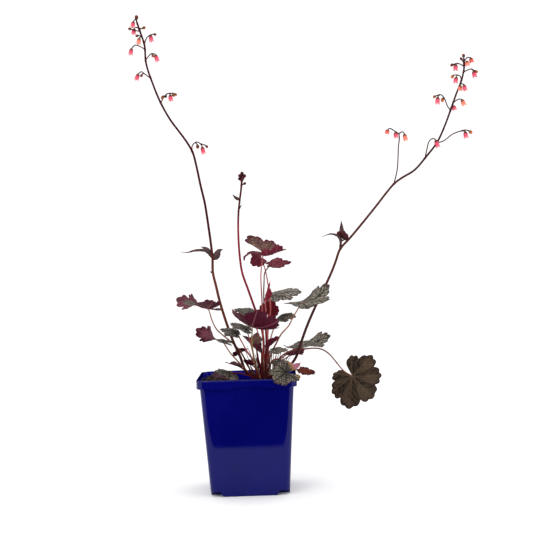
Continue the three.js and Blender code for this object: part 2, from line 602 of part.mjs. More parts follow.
function soilHeight(x, y) {
  const { level, relief, mound, moundRadius, heap } = SOIL;
  const rise = (atX, atY, radius) => Math.exp(-((Math.hypot(x - atX, y - atY) / radius) ** 2));
  const lumps = Math.sin(x * 0.19 + 1.3) * Math.cos(y * 0.23) + 0.6 * Math.sin(x * 0.41 - y * 0.37);
  return level + relief * lumps + mound * rise(CROWN.x, CROWN.y, moundRadius)
    + heap.height * rise(heap.x, heap.y, heap.radius);
}

function makeSoil() {
  const inset = POT.wall + GAP;
  const side = POT.mouth + 8;
  const block = new THREE.BoxGeometry(side, side, POT.height, SOIL.cells, SOIL.cells, 1);
  block.translate(0, 0, POT.height / 2);
  const position = block.attributes.position;
  for (let i = 0; i < position.count; i += 1) {
    if (position.getZ(i) > 1) position.setZ(i, soilHeight(position.getX(i), position.getY(i)));
  }
  return potCore(inset, inset, POT.height).intersect(solidOf(block));
}

// ---- the crown and the stalk bases ----

function rootPlace(slot) {
  const angle = rad(ROOT.turn) * slot;
  const radius = ROOT.pitch * Math.sqrt(slot + 0.3);
  const z = CROWN.top - ROOT.depth - 0.02 * radius * radius;
  return new THREE.Vector3(CROWN.x + radius * Math.cos(angle), CROWN.y + radius * Math.sin(angle), z);
}

// The stations of a stalk: it stands upright in its hole, then follows its route.
function stalkStations(slot, route, stepLength) {
  const foot = rootPlace(slot);
  return [foot, ...stations([foot.clone().setZ(foot.z + ROOT.lift), ...route], stepLength)];
}

function rootHole(slot, radius) {
  const foot = rootPlace(slot);
  const height = ROOT.lift + GAP;
  const drill = new THREE.CylinderGeometry(radius, radius, height, 6).rotateX(Math.PI / 2);
  return solidOf(drill.translate(foot.x, foot.y, foot.z - GAP + height / 2));
}

function makeCrown(grow = 0) {
  const { radius, bottom, top, sides } = CROWN;
  const profile = [
    [0, bottom - grow], [radius * 0.72 + grow, bottom - grow], [radius + grow, (bottom + top) / 2 - 2],
    [radius + grow, top - 5], [radius * 0.8 + grow, top - 1.5 + grow], [0, top + grow],
  ].map(([r, z]) => new THREE.Vector2(r, z));
  const geometry = new THREE.LatheGeometry(profile, sides).rotateX(Math.PI / 2);
  return solidOf(geometry.translate(CROWN.x, CROWN.y, 0));
}

// ---- leaves ----

function leafMatrix(leaf) {
  const along = vec(leaf.tip).normalize();
  const face = vec(leaf.face).addScaledVector(along, -vec(leaf.face).dot(along)).normalize();
  const across = new THREE.Vector3().crossVectors(face, along);
  return new THREE.Matrix4().makeBasis(along, across, face).setPosition(vec(leaf.at));
}

const arc = (length, bend) => (Math.abs(bend) < 1e-6
  ? [length, 0] : [Math.sin(bend * length) / bend, (1 - Math.cos(bend * length)) / bend]);

// The blade's middle surface at u along the flat midrib and v across it, in the leaf's own frame.
function bladePoint(leaf, u, v) {
  const { size, droop, rear = droop, wide = 1 } = leaf;
  const turn = Math.atan2(v, u);
  const out = Math.hypot(u, v) / size;
  const [y, lift] = arc(v * wide, rad(leaf.cup) / size);
  const z = lift + leaf.ruffle * size * out * out * Math.sin(leaf.waves * turn + leaf.phase);
  const roll = rad(leaf.twist) * u * Math.abs(u) / size ** 2;
  const across = y * Math.cos(roll) - z * Math.sin(roll);
  const above = y * Math.sin(roll) + z * Math.cos(roll);
  const bend = rad(u < 0 ? rear : droop) / size;
  const [x, fall] = arc(u, bend);
  return new THREE.Vector3(
    x + above * Math.sin(bend * u),
    across,
    above * Math.cos(bend * u) - fall,
  );
}

function bladeNormal(leaf, u, v) {
  const h = 0.05;
  const du = bladePoint(leaf, u + h, v).sub(bladePoint(leaf, u - h, v));
  const dv = bladePoint(leaf, u, v + h).sub(bladePoint(leaf, u, v - h));
  return du.cross(dv).normalize();
}

// Length of the blade at an angle from its midrib, before its lobes and teeth are cut.
function bladeReach(leaf, turn) {
  const share = (1 + Math.cos(0.545 * turn * 2 * 165 / BLADE.span)) / 2;
  const uneven = 1 + 0.05 * Math.sin(2 * turn + leaf.phase) + 0.04 * Math.sin(5 * turn + 2 * leaf.phase);
  return leaf.size * uneven * (leaf.heel + (1 - leaf.heel) * (2 * share - 1));
}

function bladeEdge(leaf, turn) {
  const lobe = Math.PI * turn / (rad(BLADE.span) / leaf.lobes);
  const lobeCut = BLADE.lobeDepth * (1 - Math.abs(Math.cos(lobe)));
  const toothCut = BLADE.toothDepth * (1 - Math.abs(Math.cos(BLADE.teeth * lobe)));
  return bladeReach(leaf, turn) * (1 - lobeCut - toothCut);
}

// Points of the flat blade: its centre, a ring half way out, then the toothed margin.
function bladeNet(leaf) {
  const perRing = 2 * BLADE.teeth * leaf.lobes;
  const turnAt = (i, count) => rad(BLADE.span) * (i / count - 0.5);
  const flat = [[0, 0]];
  const inner = 2 * leaf.lobes;
  for (let i = 0; i <= inner; i += 1) {
    const turn = turnAt(i, inner);
    const reach = 0.5 * bladeReach(leaf, turn);
    flat.push([reach * Math.cos(turn), reach * Math.sin(turn)]);
  }
  for (let i = 0; i <= perRing; i += 1) {
    const turn = turnAt(i, perRing);
    const reach = bladeEdge(leaf, turn);
    flat.push([reach * Math.cos(turn), reach * Math.sin(turn)]);
  }
  const triangles = [];
  const first = inner + 2;
  for (let i = 0; i < inner; i += 1) {
    triangles.push([0, 1 + i, 2 + i]);
    const k = first + BLADE.teeth * i;
    triangles.push([1 + i, k, k + 1], [1 + i, k + 1, 2 + i], [2 + i, k + 1, k + 2], [2 + i, k + 2, k + 3]);
  }
  const rim = [0, 1];
  for (let i = 0; i <= perRing; i += 1) rim.push(first + i);
  rim.push(inner + 1);
  return { flat, triangles, rim };
}

function makeBlade(leaf) {
  const { flat, triangles, rim } = bladeNet(leaf);
  const frame = leafMatrix(leaf);
  const half = BLADE.thickness / 2;
  const layer = (side) => flat.map(([u, v]) => (
    bladePoint(leaf, u, v).addScaledVector(bladeNormal(leaf, u, v), side * half).applyMatrix4(frame)));
  const under = flat.length;
  const index = [];
  triangles.forEach(([a, b, c]) => index.push(a, b, c, under + a, under + c, under + b));
  rim.forEach((a, i) => {
    const b = rim[(i + 1) % rim.length];
    index.push(a, under + a, under + b, a, under + b, b);
  });
  const geometry = new THREE.BufferGeometry();
  const points = [...layer(1), ...layer(-1)].flatMap((p) => [...p]);
  geometry.setAttribute('position', new THREE.Float32BufferAttribute(points, 3));
  geometry.setIndex(index);
  return solidOf(geometry);
}

// The petiole runs up to the blade and on under its midrib as the start of the main vein.
function petioleRoute(leaf) {
  const centre = bladePoint(leaf, 0, 0);
  const halfWay = bladePoint(leaf, bladeReach(leaf, 0) / 2, 0);
  const under = (share) => centre.clone().lerp(halfWay, share)
    .addScaledVector(bladeNormal(leaf, 0, 0), -0.5 * STALK.tip).applyMatrix4(leafMatrix(leaf));
  return [...leaf.via.map(vec), under(0), under(0.25)];
}

function makeLeaf(leaf) {
  const centres = stalkStations(leaf.root, petioleRoute(leaf), STALK.step);
  return makeBlade(leaf).add(taperedTube(centres, STALK.base, STALK.tip, STALK.sides));
}

// ---- flowering stems ----

function turnedTo(geometry, way, place) {
  const turn = new THREE.Quaternion().setFromUnitVectors(new THREE.Vector3(0, 1, 0), vec(way).normalize());
  return geometry.applyQuaternion(turn).translate(...place);
}

// A bell with five lobes: every second point of its mouth is drawn in and back.
function bellGeometry(length) {
  const { waist, mouth, lobeGap, sides } = BELL;
  const profile = [[0, -0.6], [waist, 0.35 * length], [mouth, length], [0, 0.72 * length]]
    .map(([r, y]) => new THREE.Vector2(r, y));
  const geometry = new THREE.LatheGeometry(profile, sides);
  const position = geometry.attributes.position;
  for (let i = 0; i < position.count; i += 1) {
    const rayIndex = Math.floor(i / profile.length);
    if (i % profile.length === 2 && rayIndex % 2) {
      position.setX(i, position.getX(i) * lobeGap);
      position.setZ(i, position.getZ(i) * lobeGap);
      position.setY(i, 0.88 * length);
    }
  }
  return geometry;
}

function budGeometry(length) {
  const profile = [[0, -0.5], [0.38 * length, 0.35 * length], [0.3 * length, 0.75 * length], [0, length]]
    .map(([r, y]) => new THREE.Vector2(r, y));
  return new THREE.LatheGeometry(profile, 5);
}

// A flower on its stalk. The stalk starts at the nearest point of the wood, the axes grown so far.
function makeFlower({ kind, stalk, way, length }, wood) {
  const points = stalk.map(vec);
  const away = (p) => p.distanceTo(points[0]);
  points[0] = wood.reduce((best, p) => (away(p) < away(best) ? p : best)).clone();
  const centres = stations(points, PEDICEL.step);
  wood.push(...alongAxis(centres));
  const stem = taperedTube(centres, PEDICEL.radius, PEDICEL.radius, PEDICEL.sides);
  const shape = kind === 'bell' ? bellGeometry(length) : budGeometry(length);
  return stem.add(solidOf(turnedTo(shape, way, stalk.at(-1))));
}

// A leafy bract: a thin ribbon with a raised keel, widest before its middle and pointed at its tip.
function makeBract({ route, half }) {
  const path = curve(route.map(vec));
  const steps = 4;
  const rings = [];
  for (let i = 0; i <= steps; i += 1) {
    const t = i / steps;
    const along = path.getTangentAt(t);
    const across = new THREE.Vector3().crossVectors(along, new THREE.Vector3(0, 1, 0)).normalize();
    const up = new THREE.Vector3().crossVectors(across, along);
    const wide = Math.max(0.45, half * Math.sin(Math.PI * Math.min(1, 0.15 + 0.85 * t) ** 0.8));
    const centre = path.getPointAt(t);
    rings.push([[wide, 0], [0, -0.5], [-wide, 0], [0, 0.5]].map(([a, b]) => (
      centre.clone().addScaledVector(across, a).addScaledVector(up, b))));
  }
  return loft(rings);
}

function makeScape(scape) {
  const centres = stalkStations(scape.root, scape.route.map(vec), SCAPE_STEP);
  const wood = alongAxis(centres);
  let solid = taperedTube(centres, scape.base, scape.tip, STALK.sides);
  for (const bract of scape.bracts) solid = solid.add(makeBract(bract));
  for (const flower of scape.flowers) solid = solid.add(makeFlower(flower, wood));
  return solid;
}

// ---- the plant in its pot ----

const plant = new THREE.Group();
plant.name = 'heuchera_in_pot';

function addPiece(name, solid, colour, roughness) {
  const material = new THREE.MeshStandardMaterial({ color: colour, roughness, metalness: 0 });
  const mesh = new THREE.Mesh(geometryOf(solid), material);
  mesh.name = name;
  plant.add(mesh);
}

let crown = makeCrown();
let soil = makeSoil().subtract(makeCrown(GAP));
for (const stalk of LEAVES) crown = crown.subtract(rootHole(stalk.root, 1.15 * (STALK.base + GAP)));
for (const stalk of SCAPES) crown = crown.subtract(rootHole(stalk.root, 1.15 * (stalk.base + GAP)));

addPiece('pot', makePot(), COLOURS.pot, 0.3);
addPiece('soil', soil, COLOURS.soil, 0.95);
addPiece('crown', crown, COLOURS.crown, 0.8);
for (const leaf of LEAVES) addPiece(leaf.name, makeLeaf(leaf), COLOURS[leaf.tone], 0.55);
for (const scape of SCAPES) addPiece(scape.name, makeScape(scape), COLOURS.scape, 0.5);

export default plant;
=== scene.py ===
"""Heuchera (coral bells) in its square nursery pot: looks, camera and light, around the packed part."""
import math
from functools import cache
from types import SimpleNamespace as Record

import bpy
import numpy as np
from mathutils import Matrix, Vector


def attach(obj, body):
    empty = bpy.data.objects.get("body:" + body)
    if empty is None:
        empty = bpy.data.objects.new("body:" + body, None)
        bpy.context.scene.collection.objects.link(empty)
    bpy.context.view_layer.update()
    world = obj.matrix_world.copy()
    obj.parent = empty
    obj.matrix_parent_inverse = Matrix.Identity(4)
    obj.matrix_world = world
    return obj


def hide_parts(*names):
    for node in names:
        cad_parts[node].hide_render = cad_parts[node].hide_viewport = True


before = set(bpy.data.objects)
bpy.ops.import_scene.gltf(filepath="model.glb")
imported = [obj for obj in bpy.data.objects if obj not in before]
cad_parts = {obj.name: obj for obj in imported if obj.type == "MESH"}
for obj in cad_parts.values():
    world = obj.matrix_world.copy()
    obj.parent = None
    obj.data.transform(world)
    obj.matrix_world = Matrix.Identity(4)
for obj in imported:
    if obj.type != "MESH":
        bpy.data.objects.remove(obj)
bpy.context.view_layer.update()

MM = 0.001
TURN = 2 * math.pi

# ---- sizes, in millimetres, in the frame of the part ----

POT_HEIGHT = 125.6
POT_FOOT = 85.0
POT_MOUTH = 100.7  # width of the shell where the rim band starts
POT_CORNER = 9.0
POT_WALL = 1.2
RIM_WIDTH = 108.0
BAND_HEIGHT = 9.3
BAND_WALL = 1.3
BAND_FOOT = POT_HEIGHT - BAND_HEIGHT
POT_SLOPE = (POT_MOUTH - POT_FOOT) / BAND_FOOT
SLOT_WIDTH = 31.0
SLOT_HEIGHT = 1.6
SLOT_END = 1.2  # length of its sloped ends
STEP_HEIGHT = 5.5
STEP_TOP = 10.5
STEP_FOOT = 14.0
DRAIN_RADIUS = 3.0
CORNERS = ((1, 1), (-1, 1), (-1, -1), (1, -1))

SOIL_LEVEL = 114.0
SOIL_RELIEF = 1.0
SOIL_MOUND = 1.8
SOIL_MOUND_RADIUS = 24.0
SOIL_HEAP = (-38.0, 36.0, 8.5, 15.0)  # x, y, height and radius of the heap at the back left
SOIL_GAP = 0.35
SOIL_UNDER_CROWN = 110.0
SOIL_SPACING = 0.8  # of the points around its outline
SOIL_RINGS = 62
SOIL_WAVES = ((9, 0.45), (4, 0.35), (1.8, 0.28))  # length and height of its fine relief
SOIL_GRAINS = 1500
CHIP = (1.3, 3.2, 0.3)  # least and largest size of a bark chip, and its flatness
CRUMB = (0.5, 1.5, 0.8)
CHIP_EVERY = 9

CROWN_X = 19.0
CROWN_Y = 2.0
CROWN_TOP = 120.0
CROWN_BOTTOM = 104.0
CROWN_RADIUS = 13.5
SHEATHS = 46
SHEATH_FOOT = 113.5
SHEATH_TURN = 2.4  # radians from one sheath to the next
SPENT_STALKS = 44
SPENT_TRIES = 1200
SPENT_POINTS = 14
SPENT_CLEARANCE = 1.7
ROOT_PITCH = 2.15
ROOT_DEPTH = 6.0
ROOT_TURN = math.radians(137.5)
ROOT_LIFT = 9.0
ANY_WAY = 6.28  # range of a random angle, about a full turn

STALK_BASE = 1.15
STALK_TIP = 0.65
BLADE_HALF = 0.3
BLADE_SPAN = math.radians(330)
EDGE_SHARE = 0.993  # keeps the fine margin inside the solid's
LOBE_DEPTH = 0.16
TOOTH_DEPTH = 0.07
TEETH = 3
TOOTH_POINTS = 8  # points along the edge of each tooth
ROW_SPACING = 1.15
ROWS = (14, 30)  # fewest and most rows between a stalk and its blade's edge
PUCKER = 0.35
PUCKER_WAVES = ((7, 0.16), (3.4, 0.08))  # length and height of its crinkles
VEIN_SUNK = 0.12  # into the upper side
VEIN_RAISED = 0.42  # out of the underside
TORN = {"leaf_dry": 0.22}
SIDE_PITCH = 0.17  # side veins, in shares of the blade's size
SIDE_SLANT = 0.9
SIDE_SINE = math.sin(math.atan(1 / SIDE_SLANT))

PEDICEL = 0.66
PEDICEL_TIP = 0.7
BRACT_HALF = 0.22
BELL_LOBES = 5
BELL_FLARE = 0.8  # where the lobes start
# A bell's radius at shares of its length, and how much less that is inside.
BELL_OUTSIDE = ((0.0, 0.4), (0.06, 1.0), (0.16, 1.7), (0.3, 2.2), (0.45, 2.4), (0.62, 2.35), (0.76, 2.4),
                (0.88, 2.7), (1.0, 3.35))
BELL_INSIDE = ((0.97, 0.3), (0.84, 0.45), (0.6, 0.55), (0.4, 1.0))
# A bud's radius at shares of its length, as shares of it.
BUD_OUTSIDE = ((0.0, 0.12), (0.1, 0.24), (0.28, 0.36), (0.5, 0.39), (0.7, 0.34), (0.86, 0.22), (0.94, 0.1))

# ---- colours, linear ----

POT_BLUE = (0.001, 0.0015, 0.085)
POT_BLUE_LIGHT = (0.0015, 0.002, 0.105)
POT_BLUE_INSIDE_PAINTED_LIGHT = (0.002, 0.003, 0.30)  # painted light: the inner faces are lighter, for light that comes through the wall
POT_DUST = (0.10, 0.09, 0.12)

SOIL_DARK = (0.012, 0.007, 0.005)
SOIL_LIGHT = (0.045, 0.024, 0.015)
SOIL_SPECK = (0.10, 0.05, 0.03)

STEM_MARK = (0.06, 0.012, 0.010)

# Matt surfaces: their dark and their light colour, the scale of their grain and their roughness.
MATT = {
    "bark_chips": ((0.035, 0.014, 0.008), (0.11, 0.045, 0.025), 300.0, 0.85),
    "peat_crumbs": ((0.010, 0.006, 0.004), (0.03, 0.016, 0.010), 300.0, 0.92),
    "crown_bark": ((0.05, 0.016, 0.010), (0.17, 0.055, 0.032), 240.0, 0.8),
    "crown_sheaths": ((0.10, 0.022, 0.015), (0.22, 0.085, 0.045), 300.0, 0.75),
    "spent_stalks_red": ((0.045, 0.006, 0.008), (0.16, 0.022, 0.020), 300.0, 0.6),
    "spent_stalks_tan": ((0.10, 0.045, 0.025), (0.34, 0.22, 0.14), 300.0, 0.7),
    "bract": ((0.020, 0.010, 0.009), (0.085, 0.026, 0.026), 350.0, 0.6),
}

PALETTES = {}


def add_palette(name, slot, field, patch, vein, margin, **more):
    """A blade's colours: its field, the colour of its patches and of the painted shade near its veins and in
    its folds, its veins and its margin. margins: where the margin starts and is full. heart: how far the
    veins' colour fills the middle. blotches: scale of the patches.
    folded: shade of the folded lobes. level: its gloss."""
    plain = dict(margins=(0.8, 0.98), heart=0.0, vein_share=0.8, vein_width=1.0, blotches=95.0, folded=0.0)
    plain.update(level=0.1, turned=None)
    plain.update(slot=slot, field=field, patch=patch, vein=vein, margin=margin, **more)
    PALETTES[name] = Record(**plain)


def turn_palette(name, base, *change):
    """A palette of which a part has turned. change: the shares along and across the blade by which the part
    is measured, where it starts and is full, and its colours there."""
    PALETTES[name] = Record(**{**vars(PALETTES[base]), "turned": change})


add_palette("silver", "leaf_silver", (0.375, 0.325, 0.262), (0.105, 0.084, 0.066),
            (0.01, 0.011, 0.007), (0.1, 0.05, 0.05), margins=(0.93, 1.02), heart=0.3, vein_share=1.0,
            vein_width=1.25, level=0.2)
add_palette("pewter", "leaf_silver", (0.33, 0.285, 0.225), (0.085, 0.066, 0.052),
            (0.006, 0.006, 0.004), (0.12, 0.06, 0.055), margins=(0.93, 1.02), heart=0.7, vein_share=1.0,
            vein_width=1.6, level=0.2)
add_palette("rimmed", "leaf_burgundy", (0.24, 0.21, 0.17), (0.11, 0.09, 0.07),
            (0.02, 0.012, 0.01), (0.18, 0.045, 0.07), margins=(0.74, 0.86), vein_share=0.85)
add_palette("taupe", "leaf_burgundy", (0.28, 0.165, 0.13), (0.145, 0.075, 0.064),
            (0.04, 0.016, 0.014), (0.14, 0.028, 0.044), margins=(0.87, 1.0))
add_palette("wine", "leaf_burgundy", (0.095, 0.005, 0.018), (0.05, 0.003, 0.01),
            (0.15, 0.02, 0.035), (0.1, 0.005, 0.02), vein_share=0.35)
add_palette("plum", "leaf_burgundy", (0.085, 0.0045, 0.021), (0.05, 0.003, 0.013),
            (0.26, 0.085, 0.1), (0.06, 0.004, 0.016), vein_share=0.6)
add_palette("rose", "leaf_burgundy", (0.2, 0.024, 0.046), (0.11, 0.01, 0.024),
            (0.32, 0.1, 0.11), (0.13, 0.01, 0.028), vein_share=0.5)
add_palette("pink", "leaf_burgundy", (0.3, 0.085, 0.11), (0.17, 0.03, 0.048),
            (0.36, 0.15, 0.16), (0.12, 0.01, 0.028), vein_share=0.4)
add_palette("mauve", "leaf_burgundy", (0.2, 0.065, 0.085), (0.115, 0.026, 0.042),
            (0.24, 0.11, 0.12), (0.06, 0.005, 0.016), vein_share=0.45)
add_palette("bright", "leaf_burgundy", (0.22, 0.008, 0.028), (0.11, 0.004, 0.014),
            (0.3, 0.03, 0.05), (0.26, 0.01, 0.035))
add_palette("red", "leaf_red", (0.13, 0.0025, 0.009), (0.065, 0.002, 0.005),
            (0.18, 0.012, 0.022), (0.085, 0.003, 0.009), vein_share=0.25)
add_palette("bronze", "leaf_bronze", (0.069, 0.046, 0.027), (0.005, 0.003, 0.002),
            (0.14, 0.088, 0.052), (0.014, 0.005, 0.004), margins=(0.82, 1.0), vein_share=0.35,
            blotches=48.0, folded=0.55)
add_palette("dry", "leaf_dry", (0.11, 0.003, 0.013), (0.16, 0.038, 0.012), (0.02, 0.002, 0.004),
            (0.05, 0.003, 0.008), margins=(0.75, 0.95), vein_share=0.6, blotches=320.0)
turn_palette("pewter_pink", "pewter", 1.0, 0.6, -0.45, -0.85, (0.24, 0.12, 0.03), (0.36, 0.13, 0.17))
turn_palette("pewter_wine", "pewter", 1.0, 0.0, 0.5, 0.75, (0.026, 0.0015, 0.006), (0.042, 0.002, 0.010))

# A leaf stalk at its foot and at its top.
STALKS = {
    "pink": ((0.28, 0.022, 0.022), (0.42, 0.11, 0.11)),
    "tan": ((0.16, 0.030, 0.020), (0.32, 0.14, 0.095)),
    "olive": ((0.12, 0.045, 0.016), (0.24, 0.16, 0.05)),
    "brown": ((0.15, 0.045, 0.035), (0.17, 0.062, 0.045)),
    "maroon": ((0.12, 0.008, 0.012), (0.10, 0.010, 0.016)),
}
# A flowering stem from its foot to its top, and where along it the colours change.
STEMS = {
    "scape_left": (
        ((0.055, 0.012, 0.009), (0.115, 0.024, 0.013), (0.046, 0.003, 0.008)), ((0.10, 0.2), (0.27, 0.42))),
    "scape_centre": (
        ((0.15, 0.012, 0.014), (0.24, 0.014, 0.034), (0.06, 0.004, 0.009)), ((0.3, 0.42), (0.74, 0.84))),
    "scape_right": (
        ((0.042, 0.012, 0.012), (0.075, 0.020, 0.017), (0.042, 0.009, 0.011)), ((0.15, 0.32), (0.55, 0.7))),
}
# A bell or bud at its stalk, in its middle and at its mouth.
FLOWERS = {
    "pink": ((0.11, 0.028, 0.012), (0.76, 0.080, 0.15), (0.86, 0.31, 0.35)),
    "peach": ((0.12, 0.036, 0.014), (0.84, 0.22, 0.15), (0.88, 0.44, 0.35)),
    "coral": ((0.11, 0.028, 0.012), (0.76, 0.105, 0.08), (0.86, 0.28, 0.23)),
    "dark": ((0.03, 0.007, 0.007), (0.055, 0.005, 0.010), (0.085, 0.008, 0.014)),
    "brown": ((0.05, 0.016, 0.010), (0.15, 0.030, 0.018), (0.24, 0.030, 0.028)),
    "olive": ((0.09, 0.045, 0.012), (0.22, 0.07, 0.02), (0.50, 0.07, 0.06)),
    "orange": ((0.10, 0.035, 0.010), (0.50, 0.13, 0.030), (0.62, 0.14, 0.07)),
}

# ---- the leaves and the flowering stems: the same places as the solids ----

LEAVES = []
SCAPES = []


def add_leaf(name, root, looks, at, tip, face, via, size, lobes, droop, **more):
    """root: place on the crown's spiral. looks: palettes of the upper side, the underside and the stalk.
    at: where the stalk, which runs via its points, meets the blade. tip, face: ways of the midrib and the
    upper side. heel: reach behind the stalk, as a share of the size. wide: share of the width. cup, droop,
    rear, twist: degrees of bend across, along, behind the stalk and round the midrib. ruffle, waves, phase:
    height, number and place of the waves in its margin."""
    plain = dict(wide=1, rear=droop, twist=0, ruffle=0.05, waves=4, phase=0)
    plain.update(name=name, root=root, looks=looks.split(), at=at, tip=tip, face=face, via=via, **more)
    LEAVES.append(Record(size=size, lobes=lobes, droop=droop, **plain))


def add_scape(name, **more):
    """root: place on the crown's spiral. base, tip: radii. route: points from above the crown to the tip.
    flowers: colour and kind, length, way and stalk of each. bracts: half width and route of each."""
    SCAPES.append(Record(name=name, **more))


add_leaf("leaf_top", 0, "taupe rose pink", (23.2, -4, 259.1), (0.8, -0.36, -0.48),
         (-0.4, -0.13, 0.91), [(19, -3, 147), (19, -4, 175), (19, -4, 204), (19, -4, 238.8)], 25.9, 7,
         heel=1.1, wide=0.81, cup=65.4, droop=-108.9, rear=26.9, twist=-83.5, ruffle=0.06, waves=3,
         phase=0.4)
add_leaf("leaf_top_left", 8, "rose rose pink", (18.5, 14, 254.5), (-0.74, -0.61, -0.29),
         (0.26, 0.93, -0.26), [(24, 5, 168), (28, 4, 197), (27, 7, 218), (23.1, 12, 243)], 13.8, 5,
         heel=0.46, cup=-30, droop=-23.5, rear=-135, twist=-67.8, ruffle=0.08, waves=3, phase=1.9)
add_leaf("leaf_top_right", 3, "pink pink maroon", (30.8, -1, 246.8), (0.99, -0.02, 0.14),
         (-0.12, 0.51, 0.85), [(22, 1, 165), (21, 1, 208), (22, 0, 228), (23.4, -1, 238.6)], 21.9, 5,
         heel=0.15, wide=0.57, cup=22.2, droop=5, rear=-25.7, twist=-23.3, ruffle=0.06, phase=0.2)
add_leaf("leaf_young", 2, "bright bright pink", (23.3, -9, 211.2), (0.28, 0, 0.96),
         (0.95, -0.35, -0.2), [(23, -7, 151), (24, -8, 180), (22.7, -9, 201.3)], 17, 5, heel=0.3, wide=0.6,
         cup=120, droop=0, phase=0.9)
add_leaf("leaf_upper_silver", 19, "silver rose pink", (31, 38, 210.2), (0.93, 0, 0.36),
         (-0.6, -0.25, 0.76), [(22, 16, 160), (25, 28, 186), (26, 36, 199)], 31.9, 7, heel=0.15, cup=-15,
         droop=32.6, rear=24.9, twist=10.6, phase=0.5)
add_leaf("leaf_upper_red", 16, "red red pink", (25.4, 14, 192.5), (0.25, 0, 0.97), (0, -0.97, 0.2),
         [(23, 9, 157), (24, 13, 179)], 14.5, 5, heel=0.6, cup=15, droop=10, rear=10, ruffle=0.08, waves=3,
         phase=2.2)
add_leaf("leaf_right_silver", 5, "silver rose tan", (62.5, -24, 203.2), (0.89, 0.44, 0.13),
         (-0.58, -0.44, 0.69), [(26, -4, 145), (35, -6, 163), (39, -10, 170), (48, -16, 180),
         (52, -20, 188)], 39.9, 7, heel=0.5, wide=0.56, cup=-26.4, droop=-45.1, rear=-49.8, twist=30.5)
add_leaf("leaf_right_inner", 11, "pewter rose tan", (36.8, 34, 186), (0.8, -0.4, 0.44),
         (-0.08, -0.34, 0.94), [(24, 20, 151), (30, 27, 172)], 19.6, 7, heel=0.15, wide=0.95, cup=-30,
         droop=57.4, rear=84.3, twist=13.5, ruffle=0.06, phase=1.1)
add_leaf("leaf_centre_burgundy", 28, "wine plum olive", (7.9, -28, 180.1), (0.04, -0.98, 0.17),
         (0.35, -0.24, 0.91), [(10, -14, 137), (7.2, -22, 155.6), (7.1, -27, 167.9)], 40, 7, heel=0.24,
         cup=46.1, droop=-40, rear=-47.5, twist=19.4, phase=0.3)
add_leaf("leaf_back_silver", 27, "pewter rose pink", (5, 28, 193), (-0.85, 0.1, 0.45),
         (0.3, -0.4, 0.85), [(16, 27, 150), (12, 28, 173)], 18, 5, heel=0.5, cup=-20, droop=35, ruffle=0.06,
         waves=3, phase=0.8)
add_leaf("leaf_midleft_silver", 9, "pewter rose pink", (0.2, 4, 175.8), (-0.87, 0.09, 0.48),
         (0.31, -0.32, 0.9), [(9, 2, 139), (5, 4, 158)], 19.3, 7, heel=0.37, wide=0.77, cup=-4.3,
         droop=20.8, rear=-21.2, twist=3.7, phase=2.4)
add_leaf("leaf_midleft_grey", 12, "pewter rose pink", (-9.2, -30, 173.3), (-0.88, -0.07, 0.48),
         (-0.11, -0.37, 0.92), [(8, -9, 139), (0, -20, 155)], 18.1, 7, heel=0.15, wide=0.77, cup=-14.4,
         droop=33.2, rear=30, twist=-3.9, phase=1.5)
add_leaf("leaf_left_upper", 30, "rimmed plum tan", (-40.8, -8.5, 201), (-0.96, -0.13, 0.23),
         (0.43, 0.26, 0.87), [(-7, 5, 151), (-18, 7, 163), (-26, 5, 170), (-33, 0, 178), (-37, -5, 188)],
         34.4, 7, heel=0.44, cup=31.6, droop=-12.1, rear=-99.2, twist=-91.5, waves=3, phase=0.5)
add_leaf("leaf_left_lower", 25, "silver mauve tan", (-25, -27, 165.2), (-0.93, 0, 0.3),
         (0.1, -0.02, 1), [(-3, -12, 134), (-9, -18, 142), (-17, -23, 152)], 30, 7, heel=0.32, wide=0.85,
         cup=5, droop=-20, twist=100, ruffle=0.04, waves=3, phase=1.2)
add_leaf("leaf_pot_left", 20, "pewter_wine plum maroon", (-18.7, -20, 129.9), (-0.69, -0.72, 0.1),
         (-0.01, -0.45, 0.89), [(6, -10, 124), (-8, -16, 129)], 22.6, 7, heel=0.26, wide=0.97, cup=-16.8,
         droop=39.2, rear=-16.2, twist=28.2, ruffle=0.08, phase=0.7)
add_leaf("leaf_low_left", 22, "wine plum maroon", (-10, 16, 134), (-0.95, 0, 0.3), (0.3, 0, 0.95),
         [(3, 12, 125), (-4, 14, 130)], 16, 5, heel=0.4, cup=25, droop=0, rear=0, phase=0.1)
add_leaf("leaf_pot_right", 23, "pewter_pink rose maroon", (42.2, -52, 132.1), (-0.95, 0, 0.12),
         (0, -0.72, 0.7), [(26, -16, 125), (34, -34, 129), (39.7, -45, 129.1)], 17.5, 7, heel=1.05, cup=-10,
         droop=15, rear=-40, ruffle=0.1, phase=0.5)
add_leaf("leaf_dry", 18, "dry dry maroon", (58.6, -31, 131.3), (0.97, 0.23, -0.06),
         (0.39, -0.41, 0.82), [(34, -14, 125), (46, -25, 132), (53, -29, 132)], 16.9, 5, heel=0.15,
         wide=0.57, cup=-30, droop=35.3, rear=14.2, twist=110, ruffle=0.16, waves=5, phase=0.6)
add_leaf("leaf_right_middle", 24, "silver plum pink", (62.7, 44, 152.5), (0.96, 0, 0.16),
         (-0.15, -0.15, 0.98), [(27, 22, 137), (40, 40, 140), (52, 45, 148)], 34, 7, heel=0.72, wide=0.62,
         cup=8, droop=-15, rear=-20, twist=56, phase=0.2)
add_leaf("leaf_bronze", 21, "bronze plum brown", (115.2, -10, 121.2), (0.64, -0.1, -0.74),
         (-0.15, -0.95, 0.1), [(36, 3, 142), (49, 4, 150), (66, 2, 152), (81, -4, 152), (90, -7, 147),
         (106.4, -10, 127.1)], 38.5, 7, heel=0.45, cup=-10, droop=48, phase=3.4)
add_leaf("leaf_low_right", 29, "wine plum maroon", (48.5, 24, 143.6), (0.94, -0.33, 0.13),
         (0.15, 0.11, 0.98), [(31, 9, 131), (38, 20, 137)], 17.2, 7, heel=0.16, wide=0.77, cup=85.1,
         droop=-22.4, rear=-140, twist=-66.7, ruffle=0.07, phase=1.6)
